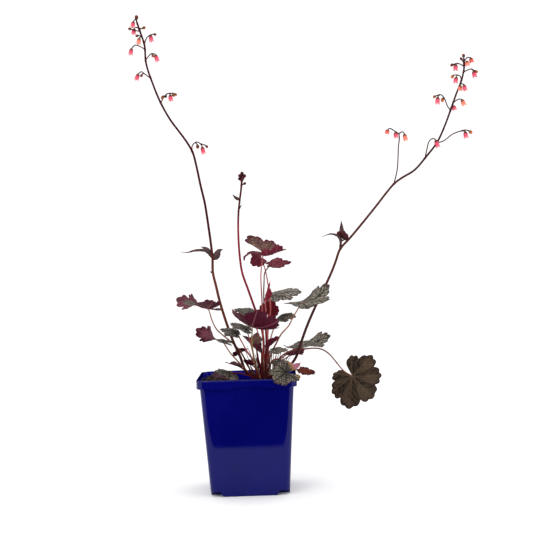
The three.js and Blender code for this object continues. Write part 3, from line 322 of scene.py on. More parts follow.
add_leaf("leaf_low_right_back", 26, "pewter plum maroon", (33.4, -14, 141), (0.45, -0.89, 0.03),
         (-0.01, -0.58, 0.82), [(29, -8, 130)], 10, 5, heel=0.67, wide=0.9, cup=-30, droop=35.1, rear=-24.6,
         twist=-0.8, ruffle=0.06, phase=0.9)
add_leaf("leaf_inner_right", 15, "wine plum maroon", (25, -14, 158), (0.75, 0, 0.65),
         (-0.6, -0.5, 0.6), [(21, -10, 144)], 14, 5, heel=0.3, wide=0.6, cup=110, droop=0, rear=0,
         phase=0.4)
add_leaf("leaf_inner_low_left", 4, "wine plum maroon", (5.5, -3.5, 136.5), (-0.89, -0.14, 0.43),
         (0.27, 0.45, 0.85), [(11, -3, 131)], 11, 5, heel=0.17, wide=0.86, cup=90, droop=-20, rear=-22,
         twist=15, ruffle=0.06, phase=2.1)
add_leaf("leaf_inner_left", 14, "wine plum maroon", (-2.9, 20, 151), (-0.92, 0.04, -0.39),
         (0.21, 0.1, 0.97), [(8, 14, 138)], 14, 5, heel=0.15, wide=0.97, cup=60.5, droop=3.2, rear=-2.6,
         twist=33.9, phase=0.4)
add_leaf("leaf_inner_centre", 7, "taupe rose maroon", (11, -7, 163), (0.1, 0, 0.99), (0, -1, 0),
         [(12, -5, 144)], 9, 5, heel=0.4, cup=40, droop=0, phase=1.4)
add_leaf("leaf_inner_back", 6, "mauve mauve maroon", (11, 13.7, 152), (-0.7, 0, 0.7),
         (0.6, 0.1, 0.7), [(13, 11, 140)], 21, 5, heel=0.2, cup=110, droop=0, phase=0.7)
add_leaf("leaf_low_right_silver", 10, "silver rose tan", (31.6, -25, 154.4), (0.96, -0.25, 0.1),
         (-0.25, -0.24, 0.94), [(23, -10, 141)], 13, 5, heel=0.58, cup=-21.9, droop=24.1, rear=0.2,
         twist=-1.9, ruffle=0.07, phase=1.3)

add_scape(
    "scape_left", root=17, base=1.5, tip=0.95,
    route=[
        (-1, -4, 129), (-7, -5, 146), (-14, -6, 163), (-20, -6, 181), (-27, -6, 206), (-31, -6, 225),
        (-34, -5, 240), (-34, -4, 256), (-35, -3, 269), (-37, 0, 287), (-41, 4, 318), (-45, 6, 337),
        (-48.9, 8.5, 358.1), (-52.6, 10, 374), (-58.4, 10.7, 385.5), (-67, 12, 398.2), (-76.7, 12.8, 412.1),
        (-86.4, 14, 430.5), (-93.6, 14.7, 448.8), (-102, 15, 477), (-103, 15, 497), (-107, 15, 511),
        (-111, 15, 524),
    ],
    flowers=[
        ("brown bud", 5.5, (0, 0, 1), (-110, 15, 522), (-111, 15, 526)),
        ("pink bell", 8, (-0.2, 0, -1), (-110, 15, 523), (-112, 13, 526), (-114, 12, 524)),
        ("pink bell", 7.5, (-0.2, 0, -1), (-108, 15, 515), (-112, 17, 518), (-114, 17, 517)),
        ("brown bud", 4, (-1, 0, 0.3), (-108, 15, 513), (-113, 14, 514), (-117, 13, 515)),
        ("olive bud", 4.5, (1, 0, 0.4), (-108, 15, 514), (-105, 15, 516)),
        ("brown bud", 4, (-1, 0, -0.3), (-106, 15, 507), (-109, 13, 508)),
        ("peach bell", 8, (-0.2, 0, -1), (-104, 15, 502), (-106, 12, 506), (-108, 11, 505)),
        ("pink bell", 8.5, (0.1, 0, -1), (-103, 15, 499), (-100, 16, 506), (-96, 17, 509)),
        ("brown bud", 4, (1, 0, -0.3), (-97, 17, 508), (-93, 18, 510)),
        ("pink bell", 8.5, (-0.25, 0, -1), (-102, 15, 492), (-107, 13, 495), (-113, 12, 497),
        (-117, 12, 494)),
        ("pink bell", 9, (0.3, 0, -1), (-102, 15, 480), (-98, 13, 485), (-95, 12, 487), (-91, 12, 486)),
        ("olive bud", 4, (0.2, 0, -1), (-95, 12, 487), (-94, 11, 486)),
        ("pink bell", 8.5, (-0.4, 0, -1), (-98, 15, 459), (-104, 16, 465), (-108, 17, 468),
        (-111, 17, 466)),
        ("brown bud", 4, (-0.3, 0, -1), (-105, 16, 466), (-107, 15, 465)),
        ("pink bell", 8.5, (0.1, 0, -1), (-87, 14, 433), (-82, 13, 439), (-78, 13, 442), (-76, 13, 441)),
        ("olive bud", 4.5, (-0.2, 0, -1), (-83, 13, 438), (-84, 10, 439)),
        ("dark bud", 4, (-0.1, 0, -1), (-79, 13, 441), (-81, 15, 441)),
        ("olive bud", 4.5, (0.4, 0, -1), (-78, 13, 442), (-73, 14, 442)),
        ("olive bud", 3.5, (0.7, 0, -0.7), (-74, 14, 442), (-71, 16, 442)),
        ("pink bell", 9.5, (0.2, 0, -1), (-53, 10, 376), (-53, 9, 382), (-48, 8, 386), (-44, 8, 384),
        (-42, 8, 381)),
        ("brown bud", 5, (0.1, 0, -1), (-49, 8, 385), (-47, 7, 383)),
        ("brown bud", 4, (0.6, 0, -0.7), (-44, 8, 384), (-38, 9, 382)),
    ],
    bracts=[
        (1.6, (-34, -4, 256), (-41, -5, 264), (-52, -8, 265), (-62, -9, 263), (-68, -9, 264)),
        (2.6, (-34, -4, 257), (-40, -3, 266), (-47, 1, 269)),
        (4, (-34, -4, 256), (-30, -6, 258), (-26, -6, 264), (-22, -5, 265)),
        (1.2, (-34, -5, 240), (-37, -6, 241)),
    ],
)
add_scape(
    "scape_centre", root=1, base=1.35, tip=1,
    route=[
        (18, 6, 140), (19, 8, 163), (16, 9, 183), (11, 10, 197), (4, 10, 219), (-2, 10, 238), (-4, 10, 253),
        (-5, 9, 281), (-4, 8, 305), (-2, 8, 320), (0.1, 8, 333.5), (1.3, 8, 345.2),
    ],
    flowers=[
        ("dark bud", 5.5, (0, 0, 1), (1.4, 8, 343.9), (1.4, 8, 346.1)),
        ("dark bud", 5, (-0.6, -0.3, 0.8), (1.1, 8, 342.5), (0.4, 7.5, 344.5)),
        ("dark bud", 5, (0.7, -0.2, 0.7), (1.1, 8, 342.5), (2.2, 8, 344.5)),
        ("dark bud", 4.5, (-0.8, 0.4, 0.35), (0.8, 8, 340.8), (0.3, 8.5, 342.4)),
        ("dark bud", 5, (0.3, -0.9, 0.35), (1.1, 8, 341.4), (1.5, 7, 342.7)),
        ("dark bud", 4, (0.8, -0.2, 0.45), (0.6, 8, 335.8), (2.4, 7.5, 336.9)),
    ],
    bracts=[
        (1.8, (-2, 8, 320), (-6, 7, 322), (-10, 7, 326)),
        (1.2, (-4, 8, 309), (-2, 7, 312), (0, 7, 314)),
    ],
)
add_scape(
    "scape_right", root=13, base=1.5, tip=0.9,
    route=[
        (39, 0, 127), (53, -2, 141), (59, 0, 155), (67, 3, 175), (77, 7, 196), (85, 9, 211), (98, 10, 237),
        (103, 10, 249), (107.7, 9, 260.9), (119.8, 8.6, 273.8), (135.5, 8, 291.5), (150.3, 7.2, 308.8),
        (161.9, 6.5, 322.8), (170.7, 6, 332.3), (179, 5, 338), (193, 4, 346), (206, 3, 360), (219, 2, 376),
        (228, 2, 394), (234, 1, 409), (241, 1, 427), (248, 0, 444), (251, 0, 457), (251, 0, 467),
    ],
    flowers=[
        ("brown bud", 4.5, (-0.1, 0, 1), (251, 0, 465), (251, 0, 468)),
        ("brown bud", 4, (-0.6, 0, 0.8), (251, 0, 462), (249, -1, 465)),
        ("coral bell", 6, (0.2, 0, -1), (251, 0, 463), (255, 1, 468), (259, 2, 468)),
        ("peach bell", 6, (0.1, 0, -1), (251, 0, 461), (254, -2, 464)),
        ("brown bud", 4.5, (-1, 0, -0.3), (250, 0, 457), (247, 1, 461), (243, 1, 462), (240, 1, 461)),
        ("pink bell", 7.5, (-0.1, 0, -1), (244, 1, 462), (242, 0, 461)),
        ("pink bell", 8, (0.2, 0, -1), (251, 0, 453), (255, -1, 454), (258, -1, 455), (261, -1, 453)),
        ("orange bud", 4, (0.8, 0, -0.5), (258, -1, 455), (263, 0, 453)),
        ("orange bud", 4.5, (-0.6, 0, -0.8), (248, 0, 444), (246, 0, 448), (243, 0, 449), (239, 0, 449)),
        ("pink bell", 7.5, (-0.2, 0, -1), (244, 0, 448), (242, -1, 447)),
        ("peach bell", 7, (-0.1, 0.2, -1), (247, 0, 440), (246, 0, 438)),
        ("pink bell", 7.5, (0.1, -0.1, -1), (246, 0, 439), (250, -2, 438)),
        ("pink bell", 9, (-0.1, 0, -1), (234, 1, 409), (231, 1, 416), (228, 0, 424), (224, 0, 428),
        (221, 0, 426)),
        ("olive bud", 4, (-0.8, 0, -0.5), (224, 0, 427), (219, 1, 427)),
        ("orange bud", 5, (-0.1, 0, -1), (228, 0, 424), (226, -1, 424)),
        ("peach bell", 8, (0.4, 0, -1), (238, 1, 419), (243, 0, 422), (247, -1, 422)),
        ("pink bell", 6, (0.3, 0, -1), (235, 1, 413), (238, 2, 416)),
        ("pink bell", 8.5, (0.1, 0, -1), (219, 2, 375), (226, 2, 377), (236, 2, 384), (245, 1, 387),
        (250, 1, 387)),
        ("orange bud", 5, (0.7, 0, -0.6), (245, 1, 387), (250, 0, 388), (254, 0, 387)),
        ("pink bell", 10, (0.3, 0, -1), (205, 3, 359), (207, 3, 367), (210, 2, 377), (214, 2, 380),
        (217, 2, 379)),
        ("coral bell", 5.5, (-0.3, 0, -1), (171, 6, 331), (174, 6, 347), (176, 5, 371), (177, 4, 386),
        (172, 3, 390), (167, 3, 393), (165, 3, 392)),
        ("pink bell", 7.5, (0.1, 0, -1), (173, 3, 390), (173, 2, 389)),
        ("peach bell", 9, (0.2, 0, -1), (177, 4, 386), (181, 4, 389), (183, 4, 387)),
        ("dark bud", 7.5, (-0.4, 0.1, 1), (107.5, 9, 261.3), (109.6, 9, 269.1), (108.7, 9.5, 274.5)),
        ("dark bud", 8, (0.15, -0.3, 1), (109.6, 9, 269.1), (111, 8.5, 274.8)),
        ("dark bud", 8.5, (0.45, -0.1, 1), (109.6, 9, 269.1), (112.5, 8.5, 271.2)),
        ("dark bud", 5.5, (1, 0.2, 0.3), (109.6, 9, 269.1), (113.3, 9.5, 271.8)),
    ],
    bracts=[
        (1.4, (107.6, 9, 262.4), (108.6, 8, 270.2), (105.3, 6, 276), (97.5, 4, 278.3), (87.9, 3, 275.5)),
        (2.7, (110.2, 9, 273.5), (110.3, 9, 283.5), (110.2, 9, 293)),
    ],
)


# ---- curves and tubes ----

def three_points(route):
    """A centripetal Catmull-Rom curve through a route, at its control parameter, and its number of spans."""
    points = [np.array(p, float) for p in route]
    points = [2 * points[0] - points[1], *points, 2 * points[-1] - points[-2]]

    def point(t):
        i = min(int(t), len(points) - 4)
        x = t - i
        p0, p1, p2, p3 = points[i:i + 4]
        d0, d1, d2 = (max(np.dot(b - a, b - a) ** 0.25, 1e-4) for a, b in ((p0, p1), (p1, p2), (p2, p3)))
        m1 = ((p1 - p0) / d0 - (p2 - p0) / (d0 + d1) + (p2 - p1) / d1) * d1
        m2 = ((p2 - p1) / d1 - (p3 - p1) / (d1 + d2) + (p3 - p2) / d2) * d1
        a = p1 * 2 - p2 * 2 + m1 + m2
        b = -3 * p1 + 3 * p2 - 2 * m1 - m2
        return a * x ** 3 + b * x ** 2 + m1 * x + p1

    return point, len(points) - 3


def spaced(route, step):
    """Even points along the curve through a route."""
    point, spans = three_points(route)
    fine = np.array([point(t) for t in np.linspace(0, spans, 40 * spans + 1)])
    lengths = np.concatenate([[0], np.cumsum(np.linalg.norm(np.diff(fine, axis=0), axis=1))])
    count = max(2, round(lengths[-1] / step))
    wanted = np.linspace(0, lengths[-1], count + 1)
    return np.stack([np.interp(wanted, lengths, fine[:, k]) for k in range(3)], axis=1)


def unit(v):
    return v / np.maximum(np.linalg.norm(v, axis=-1, keepdims=True), 1e-12)


def cross_ways(points):
    """Two steady directions across a line of points, without twist."""
    tangents = unit(np.gradient(points, axis=0))
    side = np.cross(tangents[0], (0.0, 0.0, 1.0) if abs(tangents[0][2]) < 0.9 else (1.0, 0.0, 0.0))
    sides, ups = [], []
    for tangent in tangents:
        side = side - np.dot(side, tangent) * tangent
        side = side / np.linalg.norm(side)
        sides.append(side)
        ups.append(np.cross(tangent, side))
    return np.array(sides), np.array(ups)


def around(count):
    """Even angles of a full turn."""
    return np.arange(count) * TURN / count


def circle(radius, angles, z):
    return np.stack(np.broadcast_arrays(radius * np.cos(angles), radius * np.sin(angles), z), axis=1)


def grid_uv(rows, columns):
    """A UV pair for each crossing of rows and columns."""
    return np.stack(np.broadcast_arrays(np.asarray(rows)[:, None], np.asarray(columns)[None, :]), axis=2)


class Body:
    """Vertices, faces, UVs and material numbers of one piece, gathered from several shapes."""

    def __init__(self):
        self.points, self.faces, self.corners, self.kinds = [], [], [], []
        self.count = 0

    def add(self, points, faces, uvs, kind=0, margin=0.0):
        """faces: index tuples into points. uvs: a pair for each point. margin: nearness to a leaf's edge."""
        points = np.asarray(points, float)
        margins = np.broadcast_to(margin, len(points))[:, None]
        corners = np.concatenate([np.asarray(uvs, float), margins], axis=1)
        self.points.append(points)
        for face in faces:
            self.faces.append(tuple(self.count + i for i in face))
            self.corners.extend(corners[list(face)])
            self.kinds.append(kind)
        self.count += len(points)

    def rings(self, rings, uvs=None, kind=0, caps=True):
        """A closed skin through rings of equal count."""
        rings = np.asarray(rings, float)
        layers, count = rings.shape[:2]
        faces = []
        for r in range(layers - 1):
            for i in range(count):
                j = (i + 1) % count
                faces.append((r * count + i, r * count + j, (r + 1) * count + j, (r + 1) * count + i))
        if caps:
            faces.append(tuple(reversed(range(count))))
            faces.append(tuple((layers - 1) * count + i for i in range(count)))
        uvs = np.zeros((layers, count, 2)) if uvs is None else np.asarray(uvs, float)
        self.add(rings.reshape(-1, 3), faces, uvs.reshape(-1, 2), kind)

    def tube(self, points, radii, sides=10, kind=0):
        """A round tube along points, with its radius at each."""
        points = np.asarray(points, float)
        side, up = cross_ways(points)
        angles = around(sides)
        ring = side[:, None] * np.cos(angles)[None, :, None] + up[:, None] * np.sin(angles)[None, :, None]
        rings = points[:, None] + ring * np.asarray(radii, float)[:, None, None]
        self.rings(rings, grid_uv(np.linspace(0, 1, len(points)), angles / TURN), kind)

    def piece(self, name, materials, smooth_angle=50.0):
        mesh = bpy.data.meshes.new(name)
        mesh.from_pydata(np.concatenate(self.points) * MM, [], self.faces)
        corners = np.asarray(self.corners, np.float32)
        mesh.uv_layers.new(name="UVMap").data.foreach_set("uv", corners[:, :2].ravel())
        if corners[:, 2].any():
            mesh.uv_layers.new(name="Margin").data.foreach_set("uv", corners[:, (2, 2)].ravel())
            mesh.uv_layers.active_index = 0
        for material in materials:
            mesh.materials.append(material)
        mesh.polygons.foreach_set("material_index", np.asarray(self.kinds, np.int32))
        mesh.polygons.foreach_set("use_smooth", np.ones(len(mesh.polygons), bool))
        mesh.set_sharp_from_angle(angle=math.radians(smooth_angle))
        mesh.validate()
        mesh.update()
        piece = bpy.data.objects.new(name, mesh)
        bpy.context.scene.collection.objects.link(piece)
        return piece


def dress(piece, node=None):
    """Gives a piece its body and hides the node of the part that it replaces, if it does."""
    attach(piece, "root")
    if node:
        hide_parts(node)


# ---- materials ----

class Value:
    """A node's output, which adds and multiplies as a number does."""

    def __init__(self, nodes, socket):
        self.nodes, self.socket = nodes, socket

    def __add__(self, other):
        return self.nodes.math("ADD", self, other)

    def __sub__(self, other):
        return self.nodes.math("SUBTRACT", self, other)

    def __rsub__(self, other):
        return self.nodes.math("SUBTRACT", other, self)

    def __mul__(self, other):
        return self.nodes.math("MULTIPLY", self, other)

    def __truediv__(self, other):
        return self.nodes.math("DIVIDE", self, other)

    def __abs__(self):
        return self.nodes.math("ABSOLUTE", self)


class Nodes:
    """A material's node tree, with short ways to add to it."""

    def __init__(self, name):
        self.material = bpy.data.materials.new(name)
        self.material.use_nodes = True
        self.tree = self.material.node_tree
        self.tree.nodes.clear()
        self.shader = self.tree.nodes.new("ShaderNodeBsdfPrincipled")
        out = self.tree.nodes.new("ShaderNodeOutputMaterial")
        self.tree.links.new(self.shader.outputs[0], out.inputs[0])

    def put(self, socket, value):
        if isinstance(value, Value):
            self.tree.links.new(value.socket, socket)
        elif isinstance(value, (tuple, list)) and len(value) == 3 and socket.type == "RGBA":
            socket.default_value = (*value, 1.0)
        else:
            socket.default_value = value

    def set(self, **values):
        for key, value in values.items():
            self.put(self.shader.inputs[key.replace("_", " ")], value)

    def new(self, kind, *inputs, out=0, props=None, **values):
        """A node with its first inputs in order, others by name, and its own properties."""
        node = self.tree.nodes.new(kind)
        for key, value in (props or {}).items():
            setattr(node, key, value)
        for socket, value in zip(node.inputs, inputs):
            self.put(socket, value)
        for key, value in values.items():
            self.put(node.inputs[key.replace("_", " ")], value)
        return Value(self, node.outputs[out])

    def split(self, vector):
        """The three parts of a vector."""
        parts = self.new("ShaderNodeSeparateXYZ", vector).socket.node.outputs
        return [Value(self, part) for part in parts]

    def uv(self):
        return self.new("ShaderNodeTexCoord", out=2)

    def place(self):
        """The place on the object itself."""
        return self.new("ShaderNodeTexCoord", out=3)

    def math(self, operation, *values):
        return self.new("ShaderNodeMath", *values, props={"operation": operation})

    def mix(self, share, a, b, blend="MIX"):
        node = self.tree.nodes.new("ShaderNodeMix")
        node.data_type = "RGBA"
        node.blend_type = blend
        for index, value in ((0, share), (6, a), (7, b)):
            self.put(node.inputs[index], value)
        return Value(self, node.outputs[2])

    def step(self, value, low, high, start=0.0, end=1.0):
        """value mapped from low..high to start..end, smooth and clamped."""
        return self.new("ShaderNodeMapRange", value, low, high, start, end,
                        props={"interpolation_type": "SMOOTHSTEP"})

    def noise(self, place, scale, detail=4.0, rough=0.55, out=0):
        return self.new("ShaderNodeTexNoise", out=out,
                        Vector=place, Scale=scale, Detail=detail, Roughness=rough)

    def bump(self, height, strength, distance):
        self.set(Normal=self.new("ShaderNodeBump", Height=height, Strength=strength, Distance=distance))


def vein_nodes(n, uv, out, turn, lobes, wide):
    """The main, side and fine veins of a blade and the nearness to them, which is painted shade of the
    puckered blade's hollows, each 0 to 1, and the angle from the nearest main vein. out, turn: place on the
    blade. wide: width of the veins."""
    width = BLADE_SPAN / lobes
    delta = turn - n.math("ROUND", turn / width) * width
    along = out * n.math("COSINE", delta)
    across = out * n.math("SINE", delta)
    away = abs(across)
    thick = out * (-0.016 * wide) + 0.036 * wide
    main = 1 - n.step(away, thick * 0.4, thick)
    run = along - away * SIDE_SLANT + n.math("SIGN", across) * (SIDE_PITCH / 4)
    saw = abs(n.math("FRACT", run / SIDE_PITCH) - 0.5)
    near = saw * (SIDE_PITCH * SIDE_SINE) + n.step(run, 0.2, 0.12)
    side = 1 - n.step(near, 0.006 * wide, 0.02 * wide)
    bent = n.mix(0.07, uv, n.noise(uv, 7.0, 2.0, 0.5, out=1), "LINEAR_LIGHT")
    cells = n.new("ShaderNodeTexVoronoi", props={"feature": "DISTANCE_TO_EDGE"}, Vector=bent, Scale=9.0)
    net = 1 - n.step(cells, 0.01 * wide, 0.1 * wide)
    # painted shade: darker close to the main, side and fine veins, for the hollows of the puckered blade
    painted_vein_shade = n.math("MAXIMUM", 1 - n.step(away, 0.0, 0.1), 1 - n.step(near, 0.0, 0.05))
    painted_vein_shade = n.math("MAXIMUM", painted_vein_shade, 1 - n.step(cells, 0.0, 0.28))
    return main, side, net, painted_vein_shade, delta


def turned_part(n, colour, u, v, blotch, change):
    """colour with the part of the leaf that has turned over it."""
    along_share, across_share, low, high, first, last = change
    reach = u * along_share + v * across_share + blotch * 0.08
    part = n.mix(n.step(reach, 0.6 * low + 0.4 * high, 0.3 * low + 0.7 * high), first, last)
    return n.mix(n.step(reach, low, 0.7 * low + 0.3 * high), colour, part)


@cache
def blade_material(palette, lobes, upper):
    """A leaf blade's side: palmate main veins, their side veins, a fine net, patches and margin."""
    look = PALETTES[palette]
    n = Nodes(f"blade_{palette}_{lobes}_{'upper' if upper else 'under'}")
    uv, place = n.uv(), n.place()
    u, v, _ = n.split(uv)
    out, turn = n.math("SQRT", u * u + v * v), n.math("ARCTAN2", v, u)
    main, side, net, painted_vein_shade, delta = vein_nodes(n, uv, out, turn, lobes, look.vein_width if upper else 1.0)
    side_share, net_share, sunk = (0.9, 0.8, -0.6) if upper else (0.12, 0.06, 0.7)
    veins = n.math("MAXIMUM", n.math("MAXIMUM", main, side * side_share), net * net_share)
    blotch = n.step(n.noise(place, look.blotches, 5.0, 0.6), 0.36, 0.66)
    fine = n.noise(place, 900.0, 3.0)
    # painted shade near the veins, with the random patches, mixes the field towards the patch colour
    dark = painted_vein_shade * 0.6 + blotch * 0.5
    if look.folded:
        # one half of each lobe lies in its own shade, and so does the last lobe
        halves = n.step(blotch * 0.2 + delta, 0.0, 0.24, 0.0, look.folded)
        last_lobe = n.step(turn, 1.95, 2.2, 0.0, look.folded)
        dark = dark * 0.6 + (halves + last_lobe)
    colour = n.mix(n.math("MINIMUM", dark, 1.0), look.field, look.patch)
    edge = n.split(n.new("ShaderNodeUVMap", props={"uv_map": "Margin"}))[0]
    colour = n.mix(n.step(blotch * 0.06 + edge, *look.margins), colour, look.margin)
    if look.heart:
        colour = n.mix(n.step(out, 0.08, 0.6, look.heart, 0.0), colour, look.vein)
    colour = n.mix(veins * look.vein_share, colour, look.vein)
    if look.turned:
        colour = turned_part(n, colour, u, v, blotch, look.turned)
    colour = n.new("ShaderNodeHueSaturation", Value=n.step(fine, 0.3, 0.7, 0.82, 1.12), Color=colour)
    n.set(Base_Color=colour, Roughness=n.step(blotch, 0.0, 1.0, 0.52, 0.66), Specular_IOR_Level=look.level)
    n.bump(veins * sunk + fine * 0.35, 0.5, 0.0006)
    return n.material


def stem_material(name, colours, changes, mark, rough_range):
    """A smooth stalk that changes colour from foot to top, with fine streaks along it."""
    n = Nodes(name)
    share, turn, _ = n.split(n.uv())
    speck = n.noise(n.place(), 150.0, 3.0)
    streak = n.noise(n.new("ShaderNodeCombineXYZ", turn * 9.0, share * 5.0), 2.0, 3.0, 0.5)
    colour = colours[0]
    for (low, high), following in zip(changes, colours[1:]):
        colour = n.mix(n.step(share, low, high), colour, following)
    colour = n.mix(n.step(speck, 0.5, 0.75, 0.0, 0.12), colour, mark)
    colour = n.mix(n.step(streak, 0.5, 0.75, 0.0, 0.16), colour, mark)
    n.set(Base_Color=colour, Roughness=n.step(streak, 0.3, 0.7, *rough_range), Specular_IOR_Level=0.06)
    n.bump(streak + speck * 0.4, 0.2, 0.0002)
    return n.material


@cache
def stalk_material(name):
    colours = STALKS[name]
    return stem_material("stalk_" + name, colours, ((0.1, 0.75),), colours[0], (0.42, 0.58))


@cache
def flower_material(tint):
    """A bell or bud whose colour runs from its stalk to its mouth."""
    root, middle, lip = FLOWERS[tint]
    n = Nodes("flower_" + tint)
    along, turn, _ = n.split(n.uv())
    fine = n.noise(n.place(), 900.0, 3.0)
    share = along + (fine - 0.5) * 0.25
    ribs = abs(n.math("SINE", turn * (BELL_LOBES * TURN)))
    colour = n.mix(n.step(share, 0.22, 0.46), root, middle)
    colour = n.mix(n.step(share, 0.6, 1.0), colour, lip)
    colour = n.mix(n.step(ribs, 0.7, 1.0) * 0.22, colour, root)
    n.set(Base_Color=colour, Roughness=n.step(fine, 0.3, 0.7, 0.42, 0.6), Specular_IOR_Level=0.15)
    n.bump(ribs * 0.5 + fine, 0.3, 0.0003)
    return n.material


def pot_material():
    """Glossy deep blue plastic with faint moulding marks, dust and scuffs, and painted light on its inner
    faces above the soil.
    """
    n = Nodes("pot_plastic")
    place = n.place()
    x, y, z = n.split(place)
    cloud = n.noise(place, 18.0)
    grain = n.noise(place, 1600.0, 2.0)
    scuff = n.noise(n.new("ShaderNodeMapping", Vector=place, Scale=(1.0, 1.0, 0.12)), 260.0, 6.0, 0.7)
    dust = n.step(n.noise(place, 60.0, 6.0, 0.7), 0.62, 0.8, 0.0, 0.05)
    # painted light: inner faces above the soil turn a lighter blue, standing in for light through the wall
    depth = z * (POT_SLOPE / 2) + POT_FOOT * MM / 2 - n.math("MAXIMUM", abs(x), abs(y))
    above_soil = n.step(z, (SOIL_LEVEL + 1) * MM, (SOIL_LEVEL + 2.5) * MM)
    colour = n.mix(n.step(cloud, 0.3, 0.7), POT_BLUE, POT_BLUE_LIGHT)
    colour = n.mix(n.step(depth, 0.6 * MM, 1.0 * MM) * above_soil, colour, POT_BLUE_INSIDE_PAINTED_LIGHT)
    colour = n.mix(dust, colour, POT_DUST)
    rough_plastic = n.step(cloud, 0.3, 0.7, 0.04, 0.09) + n.step(scuff, 0.6, 0.85, 0.0, 0.12)
    n.set(Base_Color=colour, Roughness=rough_plastic, IOR=1.27)
    n.bump(grain * 0.3 + scuff, 0.08, 0.0003)
    return n.material


def soil_material():
    """Dark, damp mix with a few lighter specks."""
    n = Nodes("potting_mix")
    place = n.place()
    big = n.noise(place, 260.0, 6.0, 0.65)
    fine = n.noise(place, 1500.0, 5.0, 0.7)
    colour = n.mix(n.step(big, 0.35, 0.65), SOIL_DARK, SOIL_LIGHT)
    colour = n.mix(n.step(fine, 0.6, 0.75), colour, SOIL_SPECK)
    n.set(Base_Color=colour, Roughness=n.step(fine, 0.3, 0.7, 0.75, 0.98))
    n.bump(big + fine * 0.5, 1.0, 0.002)
    return n.material


def matt_material(look, name=None):
    """A matt natural surface that wanders between two colours."""
    dark, light, scale, roughness = MATT[look]
    n = Nodes(name or look)
    place = n.place()
    big = n.noise(place, scale, 5.0, 0.6)
    fine = n.noise(place, scale * 6, 3.0)
    colour = n.mix(n.step(big, 0.35, 0.65), dark, light)
    colour = n.mix(n.step(fine, 0.58, 0.8, 0.0, 0.5), colour, dark)
    n.set(Base_Color=colour, Roughness=n.step(fine, 0.2, 0.8, roughness - 0.08, roughness + 0.06))
    n.bump(big + fine, 0.5, 0.0005)
    return n.material


# ---- the pot ----

def wall(z, inset=0.0):
    """Width of the pot's shell at a height, or between its sides set in."""
    return POT_FOOT + POT_SLOPE * z - 2 * inset


def square_ring(width, radius, z, segments=8, marks=()):
    """A rounded square. marks are places along its straight sides that get points of their own."""
    half = width / 2
    inset = half - radius
    ring = []
    for corner, (sx, sy) in enumerate(CORNERS):
        for k in range(segments + 1):
            angle = math.radians(90 * corner + 90 * k / segments)
            ring.append((sx * inset + radius * math.cos(angle), sy * inset + radius * math.sin(angle), z))
        for m in sorted(marks):
            ring.append(((-m, half, z), (-half, -m, z), (m, -half, z), (half, m, z))[corner])
    return ring


def cut(piece, tools):
    """Boolean difference, applied, with its tools removed."""
    for tool in tools:
        modifier = piece.modifiers.new("cut", "BOOLEAN")
        modifier.operation = "DIFFERENCE"
        modifier.solver = "EXACT"
        modifier.object = tool
    done = bpy.data.meshes.new_from_object(piece.evaluated_get(bpy.context.evaluated_depsgraph_get()))
    piece.modifiers.clear()
    old = piece.data
    piece.data = done
    bpy.data.meshes.remove(old)
    for tool in tools:
        bpy.data.objects.remove(tool)


def step_tools(grow, top):
    """Shapes that cut the four drainage steps, grown outwards by the wall for the inside."""
    tools = []
    for sx, sy in CORNERS:
        corner = np.array((sx * POT_FOOT / 2, sy * POT_FOOT / 2, 0.0))
        tool = Body()
        tool.rings([np.array(square_ring(2 * (half + grow), 1.5, z)) + corner for half, z in
                    ((STEP_FOOT + 1, -2.0), (STEP_TOP + 0.4, top - 0.6), (STEP_TOP, top))])
        tools.append(tool.piece("step_tool", []))
    return tools


def drain_tools():
    """Drills for the hole in each step."""
    place = POT_FOOT / 2 - STEP_TOP * 0.62
    tools = []
    for sx, sy in CORNERS:
        drill = Body()
        drill.tube([(sx * place, sy * place, z) for z in (2.0, 6.0, 10.0)], [DRAIN_RADIUS] * 3, 28)
        tools.append(drill.piece("drain_tool", []))
    return tools


def pot_skin(bands, material, marks=()):
    """A closed skin through bands of width, corner radius, height and share of the slot's rise."""
    rings = []
    for width, radius, z, raised in bands:
        ring = []
        for x, y, height in square_ring(width, radius, z, 10, marks):
            at_slot = raised and abs(y) > 0.49 * width
            share = np.clip((SLOT_WIDTH / 2 - abs(x)) / SLOT_END, 0, 1) if at_slot else 0.0
            ring.append((x, y, height + SLOT_HEIGHT * raised * share * share * (3 - 2 * share)))
        rings.append(ring)
    count = len(rings[0])
    body = Body()
    body.rings(rings, grid_uv(np.array([band[2] for band in bands]) / POT_HEIGHT, np.arange(count) / count))
    return body.piece("pot_shell", [material], 32.0)


def shell_bands():
    """The outside of the shell, from its foot up into the hollow rim."""
    under = POT_HEIGHT - BAND_WALL
    rows = [(wall(0) - 2.2, 0.0), (wall(0) - 0.9, 0.12), (wall(0.45) - 0.25, 0.45)]
    rows += [(wall(z), z) for z in (1.2, 2.4, *np.linspace(6, BAND_FOOT + 4, 16), under - 0.6)]
    rows += [(wall(under) + 0.5, under - 0.1)]
    return [(width, POT_CORNER, z, 0.0) for width, z in rows]


def rim_bands():
    """The rim band: down its inside, round its lower edge with the slot, and up its outside."""
    under, inside = POT_HEIGHT - BAND_WALL, RIM_WIDTH - 2 * BAND_WALL
    rows = [(inside - 0.8, under, 0.0), (inside, under - 0.6, 0.0), (inside, BAND_FOOT + 4, 0.0)]
    rows += [(inside, BAND_FOOT + 0.3, 1.0), (inside + 0.4, BAND_FOOT, 1.0)]
    rows += [(RIM_WIDTH - less, BAND_FOOT + up, raised) for less, up, raised in
             ((0.6, 0.0, 1.0), (0.15, 0.15, 1.0), (0.0, 0.5, 1.0), (0.0, 1.2, 0.9), (0.0, 3.2, 0.0))]
    rows += [(RIM_WIDTH - less, POT_HEIGHT - down, 0.0) for less, down in
             ((0.0, 1.8), (0.0, 0.8), (0.12, 0.4), (0.45, 0.12), (1.0, 0.0))]
    return [(width, POT_CORNER + (width - POT_MOUTH) / 2, z, raised) for width, z, raised in rows]


